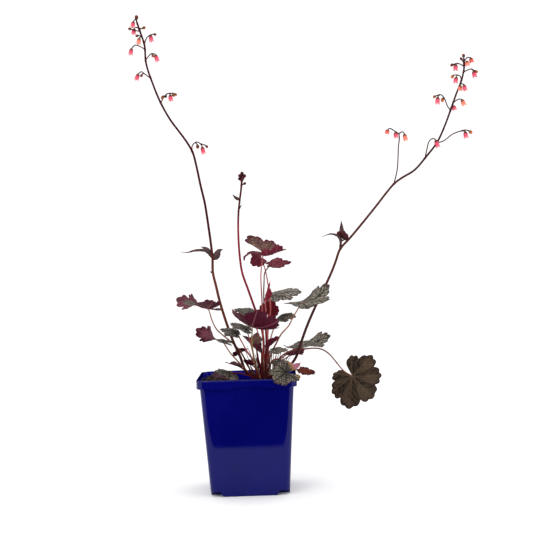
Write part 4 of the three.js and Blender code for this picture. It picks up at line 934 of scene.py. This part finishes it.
def hollow_bands():
    """The inside of the shell, from its floor up through the mouth."""
    radius, mouth = POT_CORNER - POT_WALL, wall(POT_HEIGHT, POT_WALL)
    rows = [(wall(POT_WALL, POT_WALL) - 1.5, POT_WALL), (wall(2, POT_WALL), 2.4)]
    rows += [(wall(z, POT_WALL), z) for z in (20, 60, 100, 115, 123)]
    bands = [(width, radius, z, 0.0) for width, z in rows]
    bands += [(mouth + 2 * out, radius + out, POT_HEIGHT + up, 0.0) for out, up in
              ((0.0, -0.7), (0.15, -0.25), (0.45, 0.0), (0.6, 1.0))]
    return bands


def make_pot():
    """The pot: tapered shell, hollow rolled rim with a shallow slot in its lower edge, drainage steps."""
    half_slot = SLOT_WIDTH / 2
    places = (0, 6, half_slot - SLOT_END, half_slot - 0.8, half_slot - 0.4, half_slot, half_slot + 6, 30)
    marks = {side * place for side in (-1, 1) for place in places}
    material = pot_material()
    pot = pot_skin(shell_bands() + rim_bands(), material, marks)
    hollow = pot_skin(hollow_bands(), material)
    cut(hollow, step_tools(POT_WALL, STEP_HEIGHT + POT_WALL))
    cut(pot, [*step_tools(0.0, STEP_HEIGHT), hollow, *drain_tools()])
    return pot


# ---- the soil ----

def soil_height(x, y):
    """The potting mix without its fine relief: gentle lumps, the mound at the crown and the heap."""
    away = np.hypot(x - CROWN_X, y - CROWN_Y) / SOIL_MOUND_RADIUS
    heap_x, heap_y, heap_height, heap_radius = SOIL_HEAP
    from_heap = np.hypot(x - heap_x, y - heap_y) / heap_radius
    lumps = np.sin(x * 0.19 + 1.3) * np.cos(y * 0.23) + 0.6 * np.sin(x * 0.41 - y * 0.37)
    mounds = SOIL_MOUND * np.exp(-away * away) + heap_height * np.exp(-from_heap * from_heap)
    return SOIL_LEVEL + SOIL_RELIEF * lumps + mounds


def rough(x, y, waves, seed):
    """Sum of seeded sine waves: an even, repeatable roughness. waves: pairs of length and height."""
    draw = np.random.default_rng(seed)
    total = np.zeros_like(x)
    for size, height in waves:
        for _ in range(7):
            angle, phase = draw.uniform(0, math.pi), draw.uniform(0, ANY_WAY)
            k = TURN / (size * draw.uniform(0.7, 1.3))
            total += height * np.sin(k * (x * math.cos(angle) + y * math.sin(angle)) + phase) / 7 ** 0.5
    return total


def lump(draw, size, flat):
    """A small irregular grain, made from a regular solid of 20 faces: points and faces."""
    t = (1 + 5 ** 0.5) / 2
    points = np.array([(-1, t, 0), (1, t, 0), (-1, -t, 0), (1, -t, 0), (0, -1, t), (0, 1, t),
                       (0, -1, -t), (0, 1, -t), (t, 0, -1), (t, 0, 1), (-t, 0, -1), (-t, 0, 1)]) / 1.9
    faces = [(0, 11, 5), (0, 5, 1), (0, 1, 7), (0, 7, 10), (0, 10, 11), (1, 5, 9), (5, 11, 4), (11, 10, 2),
             (10, 7, 6), (7, 1, 8), (3, 9, 4), (3, 4, 2), (3, 2, 6), (3, 6, 8), (3, 8, 9), (4, 9, 5),
             (2, 4, 11), (6, 2, 10), (8, 6, 7), (9, 8, 1)]
    points = points * draw.uniform(0.7, 1.25, (12, 1)) * (size * np.array((1, draw.uniform(0.5, 1), flat)))
    turn = draw.uniform(0, ANY_WAY)
    c, s = math.cos(turn), math.sin(turn)
    points = points @ np.array(((c, s, 0), (-s, c, 0), (0, 0, 1)))
    tilt = draw.uniform(-0.4, 0.4)
    c, s = math.cos(tilt), math.sin(tilt)
    return points @ np.array(((1, 0, 0), (0, c, s), (0, -s, c))), faces


def soil_rings():
    """Rings of the filled root ball: its foot, its sides and its uneven top, lower under the crown."""
    inset = POT_WALL + SOIL_GAP
    width = wall(SOIL_LEVEL, inset)
    corners = np.array(square_ring(width, POT_CORNER - inset, 0.0, 40))
    outline = []
    for a, b in zip(corners, np.roll(corners, -1, axis=0)):
        parts = max(1, round(np.linalg.norm(b - a) / SOIL_SPACING))
        outline.extend(a + (b - a) * k / parts for k in range(parts))
    outline = np.array(outline)
    top = outline * np.linspace(1, 0.004, SOIL_RINGS)[:, None, None]
    x, y = top[..., 0], top[..., 1]
    z = soil_height(x, y) + rough(x, y, SOIL_WAVES, 5)
    under_crown = np.hypot(x - CROWN_X, y - CROWN_Y) < CROWN_RADIUS - 1.5
    top[..., 2] = np.where(under_crown, np.minimum(z, SOIL_UNDER_CROWN), z)
    foot = outline * ((wall(0, inset) - 6) / width)
    foot[:, 2] = STEP_HEIGHT + 3.5
    return np.concatenate([[foot], top])


def make_soil():
    """The potting mix, with bark chips and peat crumbs strewn over it."""
    body = Body()
    rings = soil_rings()
    body.rings(rings, rings[..., :2] / 50)
    draw = np.random.default_rng(11)
    half = wall(SOIL_LEVEL) / 2 - (POT_WALL + SOIL_GAP) - 2.5
    for k in range(SOIL_GRAINS):
        x, y = draw.uniform(-half, half, 2)
        chip = k % CHIP_EVERY == 0
        least, largest, flat = CHIP if chip else CRUMB
        size = draw.uniform(least, largest)
        if math.hypot(x - CROWN_X, y - CROWN_Y) < CROWN_RADIUS + size:
            continue
        points, faces = lump(draw, size, flat)
        height = float(soil_height(x, y)) + 0.25 * size
        body.add(points + (x, y, height), faces, points[:, :2], 1 if chip else (2 if k % 5 == 0 else 0))
    looks = [matt_material("bark_chips"), matt_material("peat_crumbs")]
    return body.piece("soil_surface", [soil_material(), *looks], 60.0)


# ---- the crown ----

def crown_place(radius, angle, z):
    """A place around the crown's axis."""
    return np.array((CROWN_X + radius * math.cos(angle), CROWN_Y + radius * math.sin(angle), z))


def root_place(slot):
    """Foot of a stalk or stem on the crown's golden-angle spiral."""
    radius = ROOT_PITCH * math.sqrt(slot + 0.3)
    return crown_place(radius, ROOT_TURN * slot, CROWN_TOP - ROOT_DEPTH - 0.02 * radius * radius)


def taken_places():
    """Points all along the stems and the stalks, and over the blades."""
    taken = [stem_axis(scape) for scape in SCAPES]
    turn, share = np.meshgrid(np.linspace(-2.8, 2.8, 25), np.linspace(0, 1, 9))
    for leaf in LEAVES:
        reach = blade_edge(leaf, turn) * share
        blade = blade_point(leaf, reach * np.cos(turn), reach * np.sin(turn)).reshape(-1, 3)
        taken += [stalk_axis(leaf), blade @ leaf_axes(leaf) + np.array(leaf.at, float)]
    # the lines are filled in, the nets over the blades, of 225 points, are close enough
    return np.concatenate([spaced(points, 0.8) if len(points) < 200 else points for points in taken])


def spent_stalks():
    """Routes of thin spent stalks on the crown, each clear of every stalk, stem and blade."""
    taken = taken_places()
    draw = np.random.default_rng(21)
    routes = []
    for k in range(SPENT_TRIES):
        turn, away = draw.normal(math.pi * (k % 2), 0.9), CROWN_RADIUS * math.sqrt(draw.uniform(0.15, 0.85))
        height, lean, sway = draw.uniform(10, 37), draw.uniform(0.1, 0.9), draw.uniform(-0.3, 0.3)
        t = np.linspace(0, 1, SPENT_POINTS)
        out = away + lean * height * t * (0.6 + 0.4 * t)
        route = circle(out, turn + sway * t, SOIL_LEVEL + (height + 5) * t) + (CROWN_X, CROWN_Y, 0)
        free = route[3:]
        if np.min(np.linalg.norm(free[:, None] - taken[None], axis=2)) > SPENT_CLEARANCE:
            routes.append(route)
            taken = np.concatenate([taken, route])
    return routes[:SPENT_STALKS]


def add_sheaths(body):
    """Old stalk bases in brown papery sheaths around the crown's edge."""
    draw = np.random.default_rng(3)
    for k in range(SHEATHS):
        angle = SHEATH_TURN * k + draw.uniform(-0.2, 0.2)
        foot = crown_place(CROWN_RADIUS * draw.uniform(0.72, 0.97), angle, SHEATH_FOOT)
        lean = np.array((math.cos(angle), math.sin(angle), 0.0))
        across = np.array((-lean[1], lean[0], 0.0))
        wide, tall = draw.uniform(1.2, 2.2), draw.uniform(3.0, 5.5)
        rings = []
        for t in np.linspace(0, 1, 5):
            half = wide * (1 - t ** 2.2) + 0.1
            centre = foot + np.array((0, 0, 1.0)) * tall * t + lean * (0.5 * math.sin(2.6 * t) - 0.6 * t)
            sides = (across * half, lean * 0.45, -across * half, -lean * 0.2)
            rings.append([centre + side for side in sides])
        body.rings(rings, np.full((5, 4, 2), 0.8), 1)


def make_crown():
    """The woody crown, with its sheaths and its spent stalks."""
    shares = ((0.72, CROWN_BOTTOM), (0.95, CROWN_BOTTOM + 3), (1.0, 110), (1.0, 113.5), (0.93, 116.2),
              (0.78, 118.2), (0.5, 119.1), (0.2, 119.6))
    profile = [(CROWN_RADIUS * share, z) for share, z in shares] + [(0.3, 119.7)]
    angles = around(64)
    rings = []
    for r, z in profile:
        wave = 1 - 0.035 * (1 + np.sin(9 * angles + z * 0.8)) - 0.02 * (1 + np.sin(23 * angles + z * 1.7))
        ring = circle(r * wave, angles, z - 0.25 * (1 + np.sin(5 * angles + r)))
        rings.append(ring + (CROWN_X, CROWN_Y, 0))
    heights = (np.array([z for _, z in profile]) - CROWN_BOTTOM) / (CROWN_TOP - CROWN_BOTTOM)
    body = Body()
    body.rings(rings, grid_uv(heights, angles / TURN))
    add_sheaths(body)
    thickness = np.interp(np.arange(SPENT_POINTS), (0, 11, 13), (0.6, 0.42, 0.2))
    for k, route in enumerate(spent_stalks()):
        body.tube(route, thickness, 7, 2 + (k % 3 == 0))
    looks = ("crown_bark", "crown_sheaths", "spent_stalks_red", "spent_stalks_tan")
    return body.piece("crown_wood", [matt_material(look) for look in looks], 60.0)


# ---- leaves ----

def leaf_axes(leaf):
    """A leaf's own axes: along its midrib, across it and up from its upper side."""
    along = unit(np.array(leaf.tip, float))
    face = np.array(leaf.face, float)
    face = unit(face - np.dot(face, along) * along)
    return np.stack([along, np.cross(face, along), face])


def arc(length, bend):
    """A straight length bent into an arc: how far it reaches and how far it leaves its line."""
    bend = np.where(np.abs(bend) < 1e-6, 1e-6, bend)
    return np.sin(bend * length) / bend, (1 - np.cos(bend * length)) / bend


def blade_point(leaf, u, v):
    """The blade's middle surface at u along the flat midrib and v across it, in the leaf's own frame."""
    size = leaf.size
    turn = np.arctan2(v, u)
    out = np.hypot(u, v) / size
    y, lift = arc(v * leaf.wide, math.radians(leaf.cup) / size)
    z = lift + leaf.ruffle * size * out ** 2 * np.sin(leaf.waves * turn + leaf.phase)
    roll = math.radians(leaf.twist) * u * np.abs(u) / size ** 2
    across = y * np.cos(roll) - z * np.sin(roll)
    above = y * np.sin(roll) + z * np.cos(roll)
    bend = np.radians(np.where(u < 0, leaf.rear, leaf.droop)) / size
    x, fall = arc(u, bend)
    return np.stack([x + above * np.sin(bend * u), across, above * np.cos(bend * u) - fall], axis=-1)


def blade_normal(leaf, u, v):
    h = 0.05
    du = blade_point(leaf, u + h, v) - blade_point(leaf, u - h, v)
    dv = blade_point(leaf, u, v + h) - blade_point(leaf, u, v - h)
    return unit(np.cross(du, dv))


def blade_reach(leaf, turn):
    """The blade's outline without its lobes and teeth."""
    share = (1 + np.cos(0.545 * turn)) / 2
    uneven = 1 + 0.05 * np.sin(2 * turn + leaf.phase) + 0.04 * np.sin(5 * turn + 2 * leaf.phase)
    return leaf.size * uneven * (leaf.heel + (1 - leaf.heel) * (2 * share - 1))


def blade_edge(leaf, turn):
    """The blade's outline with its lobes and teeth."""
    lobe = math.pi * turn / (BLADE_SPAN / leaf.lobes)
    lobe_cut = LOBE_DEPTH * (1 - np.abs(np.cos(lobe)))
    tooth_cut = TOOTH_DEPTH * (1 - np.abs(np.cos(TEETH * lobe)))
    torn = TORN.get(leaf.name, 0.0) * (0.5 + 0.3 * np.sin(11 * turn + 1) + 0.2 * np.sin(23 * turn + 2)) ** 2
    return EDGE_SHARE * blade_reach(leaf, turn) * (1 - lobe_cut - tooth_cut - torn)


def vein_distance(leaf, u, v):
    """Distance in millimetres to the nearest main vein and to the nearest side vein."""
    size, width = leaf.size, BLADE_SPAN / leaf.lobes
    turn, out = np.arctan2(v, u), np.hypot(u, v) / size
    delta = turn - width * np.round(turn / width)
    along, across = out * np.cos(delta), out * np.sin(delta)
    run = along - np.abs(across) * SIDE_SLANT + np.sign(across) * SIDE_PITCH / 4
    saw = np.abs(run / SIDE_PITCH - np.floor(run / SIDE_PITCH) - 0.5) * SIDE_PITCH
    side = saw * SIDE_SINE + np.where(run < 0.15, 1.0, 0.0)
    return np.abs(across) * size, side * size


def stalk_axis(leaf):
    """Points along the middle of a leaf's stalk, from the crown to under the blade."""
    start = np.array(0.0)
    half_way = blade_point(leaf, np.array(blade_reach(leaf, 0.0) / 2), start)
    middle = blade_point(leaf, start, start)
    down = -0.5 * STALK_TIP * blade_normal(leaf, start, start)
    axes, place = leaf_axes(leaf), np.array(leaf.at, float)
    ends = [(middle + (half_way - middle) * t + down) @ axes + place for t in (0, 0.25)]
    foot = root_place(leaf.root)
    return np.concatenate([[foot], spaced([foot + (0, 0, ROOT_LIFT), *leaf.via, *ends], 2.5)])


def blade_sides(leaf, u, v, shares):
    """The upper and the lower surface over a grid, puckered between the veins. shares: stalk to edge."""
    main, side = vein_distance(leaf, u, v)
    fade = 1 - 0.75 * shares
    ridge = np.exp(-(main / 0.75) ** 2) * fade + 0.25 * np.exp(-(side / 0.6) ** 2) * fade
    puff = (1 - np.exp(-(np.minimum(main, side) / 1.3) ** 2)) * np.sin(math.pi * shares) ** 0.6
    lift = PUCKER * puff + rough(u, v, PUCKER_WAVES, leaf.root + 40) * shares
    thin = BLADE_HALF * (1 - 0.45 * shares)
    centre, normal = blade_point(leaf, u, v), blade_normal(leaf, u, v)
    upper = centre + normal * (lift + thin - VEIN_SUNK * ridge)[..., None]
    under = centre + normal * (lift - thin - VEIN_RAISED * ridge)[..., None]
    return upper, under


def grid_faces(rows, columns):
    """Quads over a grid of points."""
    corners = [r * columns + i for r in range(rows - 1) for i in range(columns - 1)]
    return [(a, a + columns, a + columns + 1, a + 1) for a in corners]


def add_blade(body, leaf):
    """A blade: its two sides and the narrow border between them."""
    rows = int(np.clip(leaf.size / ROW_SPACING, *ROWS)) + 1
    columns = leaf.lobes * TEETH * TOOTH_POINTS + 1
    turns = BLADE_SPAN * (np.arange(columns) / (columns - 1) - 0.5)
    shares = ((np.arange(rows) / (rows - 1)) ** 0.9)[:, None]
    outwards = shares ** 1.5
    reach = shares * (blade_edge(leaf, turns) * outwards + 0.86 * blade_reach(leaf, turns) * (1 - outwards))
    u, v = reach * np.cos(turns), reach * np.sin(turns)
    upper, under = blade_sides(leaf, u, v, shares)
    axes, place = leaf_axes(leaf), np.array(leaf.at, float)
    flat = np.stack([u, v], axis=-1) / leaf.size
    faces = grid_faces(rows, columns)
    margin = np.repeat(shares, columns)
    body.add(upper.reshape(-1, 3) @ axes + place, faces, flat.reshape(-1, 2), 0, margin)
    faces = [face[::-1] for face in faces]
    body.add(under.reshape(-1, 3) @ axes + place, faces, flat.reshape(-1, 2), 1, margin)
    border = [(rows - 1, i) for i in range(columns)] + [(r, columns - 1) for r in range(rows - 2, -1, -1)]
    border += [(r, 0) for r in range(rows - 1)]
    count = len(border)
    pairs = [(2 * k, 2 * ((k + 1) % count)) for k in range(count)]
    faces = [(a, a + 1, b + 1, b) for a, b in pairs]
    points = np.array([[upper[r, i], under[r, i]] for r, i in border]).reshape(-1, 3)
    uvs = np.repeat(np.array([flat[r, i] for r, i in border]), 2, axis=0)
    body.add(points @ axes + place, faces, uvs, 0, 1.0)


def make_leaf(leaf):
    """A leaf: its blade and its stalk."""
    body = Body()
    add_blade(body, leaf)
    axis = stalk_axis(leaf)
    share = np.linspace(0, 1, len(axis))
    radii = STALK_BASE + (STALK_TIP - STALK_BASE) * share
    radii = radii * (1 + 0.04 * np.sin(share * 40 + leaf.root)) * 0.97
    radii[-3:] *= (0.95, 0.8, 0.35)
    body.tube(axis, radii, 10, 2)
    top, below, stalk = leaf.looks
    sides = [blade_material(top, leaf.lobes, True), blade_material(below, leaf.lobes, False)]
    piece = body.piece(leaf.name + "_fine", [*sides, stalk_material(stalk)], 70.0)
    dress(piece, leaf.name)


# ---- flowering stems ----

def turned(points, way, place):
    """Points of a shape that stands on +Z, turned to a way and moved to a place."""
    turn = Vector((0, 0, 1)).rotation_difference(Vector(way).normalized()).to_matrix()
    return np.asarray(points, float) @ np.array(turn).T + np.asarray(place, float)


def bell_shape(length):
    """A coral bell: a small urn with five lobes at its mouth, hollow inside."""
    angles = around(30)
    between = 1 - np.cos(BELL_LOBES / 2 * angles) ** 2
    outside = [(t, r, 0.05 * (t < BELL_FLARE), t) for t, r in BELL_OUTSIDE]
    inside = [(t, np.interp(t, *zip(*BELL_OUTSIDE)) - less, 0.0, min(t, 0.95)) for t, less in BELL_INSIDE]
    rings = []
    for t, r, rib, _ in outside + inside:
        stretch = max(0.0, (t - BELL_FLARE) / 0.2) * between
        radius = r * (1 + rib * np.cos(BELL_LOBES * angles)) * (1 - 0.32 * stretch)
        rings.append(circle(radius, angles, length * (t - 0.2 * stretch)))
    return np.array(rings), grid_uv([row[3] for row in outside + inside], angles / TURN)


def bud_shape(length):
    """A closed bud with five faint ribs."""
    angles = around(15)
    ribs = 1 + 0.07 * np.cos(BELL_LOBES * angles)
    rings = [circle(r * length * ribs, angles, length * t) for t, r in BUD_OUTSIDE]
    return np.array(rings), grid_uv([t for t, _ in BUD_OUTSIDE], angles / TURN)


def bract_shape(half, route):
    """A narrow leaf on a stem, folded a little along its middle."""
    points = spaced(route, 1.2)
    tangents = unit(np.gradient(points, axis=0))
    across = unit(np.cross(tangents, (0.0, 1.0, 0.0)))
    up = np.cross(across, tangents)
    t = np.linspace(0, 1, len(points))
    wide = np.maximum(0.35, half * np.sin(math.pi * np.minimum(1, 0.15 + 0.85 * t) ** 0.8))
    wide = (wide * (1 + 0.06 * np.sin(t * 38)))[:, None]
    sides = np.linspace(-1, 1, 9)
    sides = np.concatenate([sides, sides[::-1]])
    above = 0.35 * wide * np.abs(sides) ** 1.3 + np.repeat((BRACT_HALF, -BRACT_HALF), 9)
    rings = points[:, None] + across[:, None] * sides[:, None] * wide[..., None]
    return rings + up[:, None] * above[..., None], grid_uv(t, np.linspace(0, 1, 18))


def stem_axis(scape):
    """Points along the middle of a flowering stem."""
    foot = root_place(scape.root)
    return np.concatenate([[foot], spaced([foot + (0, 0, ROOT_LIFT), *scape.route], 3.0)])


def make_scape(scape):
    """A flowering stem with its side stalks and bracts, and its bells and buds as a piece of their own."""
    axis = stem_axis(scape)
    radii = scape.base + (scape.tip - scape.base) * np.linspace(0, 1, len(axis))
    wood = axis
    stems, blooms = Body(), Body()
    tints = sorted({look.split()[0] for look, *_ in scape.flowers})
    for look, length, way, start, *stalk in scape.flowers:
        tint, kind = look.split()
        near = np.argmin(np.linalg.norm(wood - start, axis=1))
        foot = wood[near]
        route = spaced([foot, *stalk], 1.6)
        thick = np.full(len(route), PEDICEL)
        thick[-1] = PEDICEL_TIP
        stems.tube(route, thick, 8)
        wood = np.concatenate([wood, route])
        rings, uvs = bell_shape(length) if kind == "bell" else bud_shape(length)
        points = turned(rings.reshape(-1, 3), way, stalk[-1])
        blooms.rings(points.reshape(rings.shape), uvs, tints.index(tint))
        if near < len(axis):
            radii[near] *= 1.18
        end = foot * 0.45 + route[min(2, len(route) - 1)] * 0.55 + (0, 0, 0.9)
        stems.tube([foot, (foot + end) / 2, end], (0.8, 0.6, 0.15), 6)
    stems.tube(axis, radii * 1.06, 12)
    for half, *route in scape.bracts:
        stems.rings(*bract_shape(half, route), 1)
    bract = matt_material("bract", scape.name + "_bract")
    skin = stem_material(scape.name + "_skin", *STEMS[scape.name], STEM_MARK, (0.42, 0.6))
    dress(stems.piece(scape.name + "_stem", [skin, bract], 60.0), scape.name)
    dress(blooms.piece(scape.name + "_flowers", [flower_material(tint) for tint in tints], 60.0))


# ---- the dressed part ----

dress(make_pot(), "pot")
dress(make_soil(), "soil")
dress(make_crown(), "crown")
for each_leaf in LEAVES:
    make_leaf(each_leaf)
for each_scape in SCAPES:
    make_scape(each_scape)


# ---- floor, light and camera ----

def floor():
    """A wide white floor, just under the pot."""
    angles = around(96)
    body = Body()
    body.rings([circle(radius, angles, -0.02) for radius in (30000, 3000, 400, 1)], caps=False)
    n = Nodes("studio_floor")
    cloud = n.noise(n.place(), 3.0, 3.0)
    white = n.mix(cloud, (0.955, 0.955, 0.955), (0.985, 0.985, 0.985))
    n.set(Base_Color=white, Roughness=0.9, Specular_IOR_Level=0.1)
    body.piece("floor", [n.material])


def dark_cards():
    """A black card in front of the pot and one behind it, seen only by the pot's gloss."""
    near, far, half, corner = -213.0, -2600.0, 300.0, 26.0
    outline = [(half + corner * (math.sin(t) - 1), near + corner * (math.cos(t) - 1), 1.0)
               for t in np.radians(np.linspace(0, 90, 9))]
    outline += [(4600.0, far, 1.0)]
    outline += [(-x, y, z) for x, y, z in reversed(outline)]
    upright = [(-1500, 1600, 1), (1500, 1600, 1), (1500, 1600, 900), (-1500, 1600, 900)]
    n = Nodes("black_card")
    n.set(Base_Color=(0.0, 0.0, 0.0), Roughness=1.0, Specular_IOR_Level=0.0)
    for name, points in (("black_card", outline), ("black_flag", upright)):
        body = Body()
        body.add(points, [tuple(range(len(points)))], np.zeros((len(points), 2)))
        card = body.piece(name, [n.material])
        for ray in ("camera", "diffuse", "transmission", "volume_scatter", "shadow"):
            setattr(card, "visible_" + ray, False)


def area_light(name, place, target, size, power):
    data = bpy.data.lights.new(name, "AREA")
    data.shape = "DISK"
    data.size = size
    data.energy = power
    light = bpy.data.objects.new(name, data)
    bpy.context.scene.collection.objects.link(light)
    light.location = place
    light.rotation_euler = (Vector(target) - Vector(place)).to_track_quat("-Z", "Y").to_euler()


def lights():
    """Three soft lights in a white room."""
    area_light("key", (-0.9, -1.5, 1.5), (0.0, 0.0, 0.25), 1.2, 7.0)
    area_light("fill", (1.4, -1.2, 0.9), (0.0, 0.0, 0.25), 1.2, 3.0)
    area_light("top", (0.1, 0.4, 1.9), (0.0, 0.0, 0.2), 1.4, 5.0)
    world = bpy.data.worlds.new("studio")
    world.use_nodes = True
    background = world.node_tree.nodes["Background"]
    background.inputs[0].default_value = (1.0, 1.0, 1.0, 1.0)
    background.inputs[1].default_value = 1.12
    bpy.context.scene.world = world
    bpy.context.scene.view_settings.view_transform = "Standard"


CAMERA_TURN = math.radians(0.343)
CAMERA_AWAY = 1.2053
CAMERA_SIDE = 0.02525
CAMERA_HEIGHT = 0.24775
CAMERA_PITCH = math.radians(0.148)
CAMERA_ROLL = math.radians(-1.956)
CAMERA_LENS = 73.54


def camera():
    """The photo's camera: in front of the pot, about level with the plant's middle, and rolled a little."""
    turn, pitch = CAMERA_TURN, CAMERA_PITCH
    back = Vector((math.sin(turn) * math.cos(pitch), -math.cos(turn) * math.cos(pitch), math.sin(pitch)))
    right = Vector((math.cos(turn), math.sin(turn), 0.0))
    up = back.cross(right)
    place = Vector((0, 0, CAMERA_HEIGHT)) + right * CAMERA_SIDE
    place += Vector((math.sin(turn), -math.cos(turn), 0.0)) * CAMERA_AWAY
    rolled_right = right * math.cos(CAMERA_ROLL) + up * math.sin(CAMERA_ROLL)
    rolled_up = -right * math.sin(CAMERA_ROLL) + up * math.cos(CAMERA_ROLL)
    data = bpy.data.cameras.new("camera")
    data.lens = CAMERA_LENS
    data.sensor_width = 36.0
    data.sensor_fit = "HORIZONTAL"
    data.clip_start = 0.05
    data.clip_end = 100.0
    eye = bpy.data.objects.new("camera", data)
    rows = zip(rolled_right, rolled_up, back, place)
    eye.matrix_world = Matrix((*rows, (0, 0, 0, 1)))
    bpy.context.scene.collection.objects.link(eye)
    bpy.context.scene.camera = eye


floor()
dark_cards()
lights()
camera()
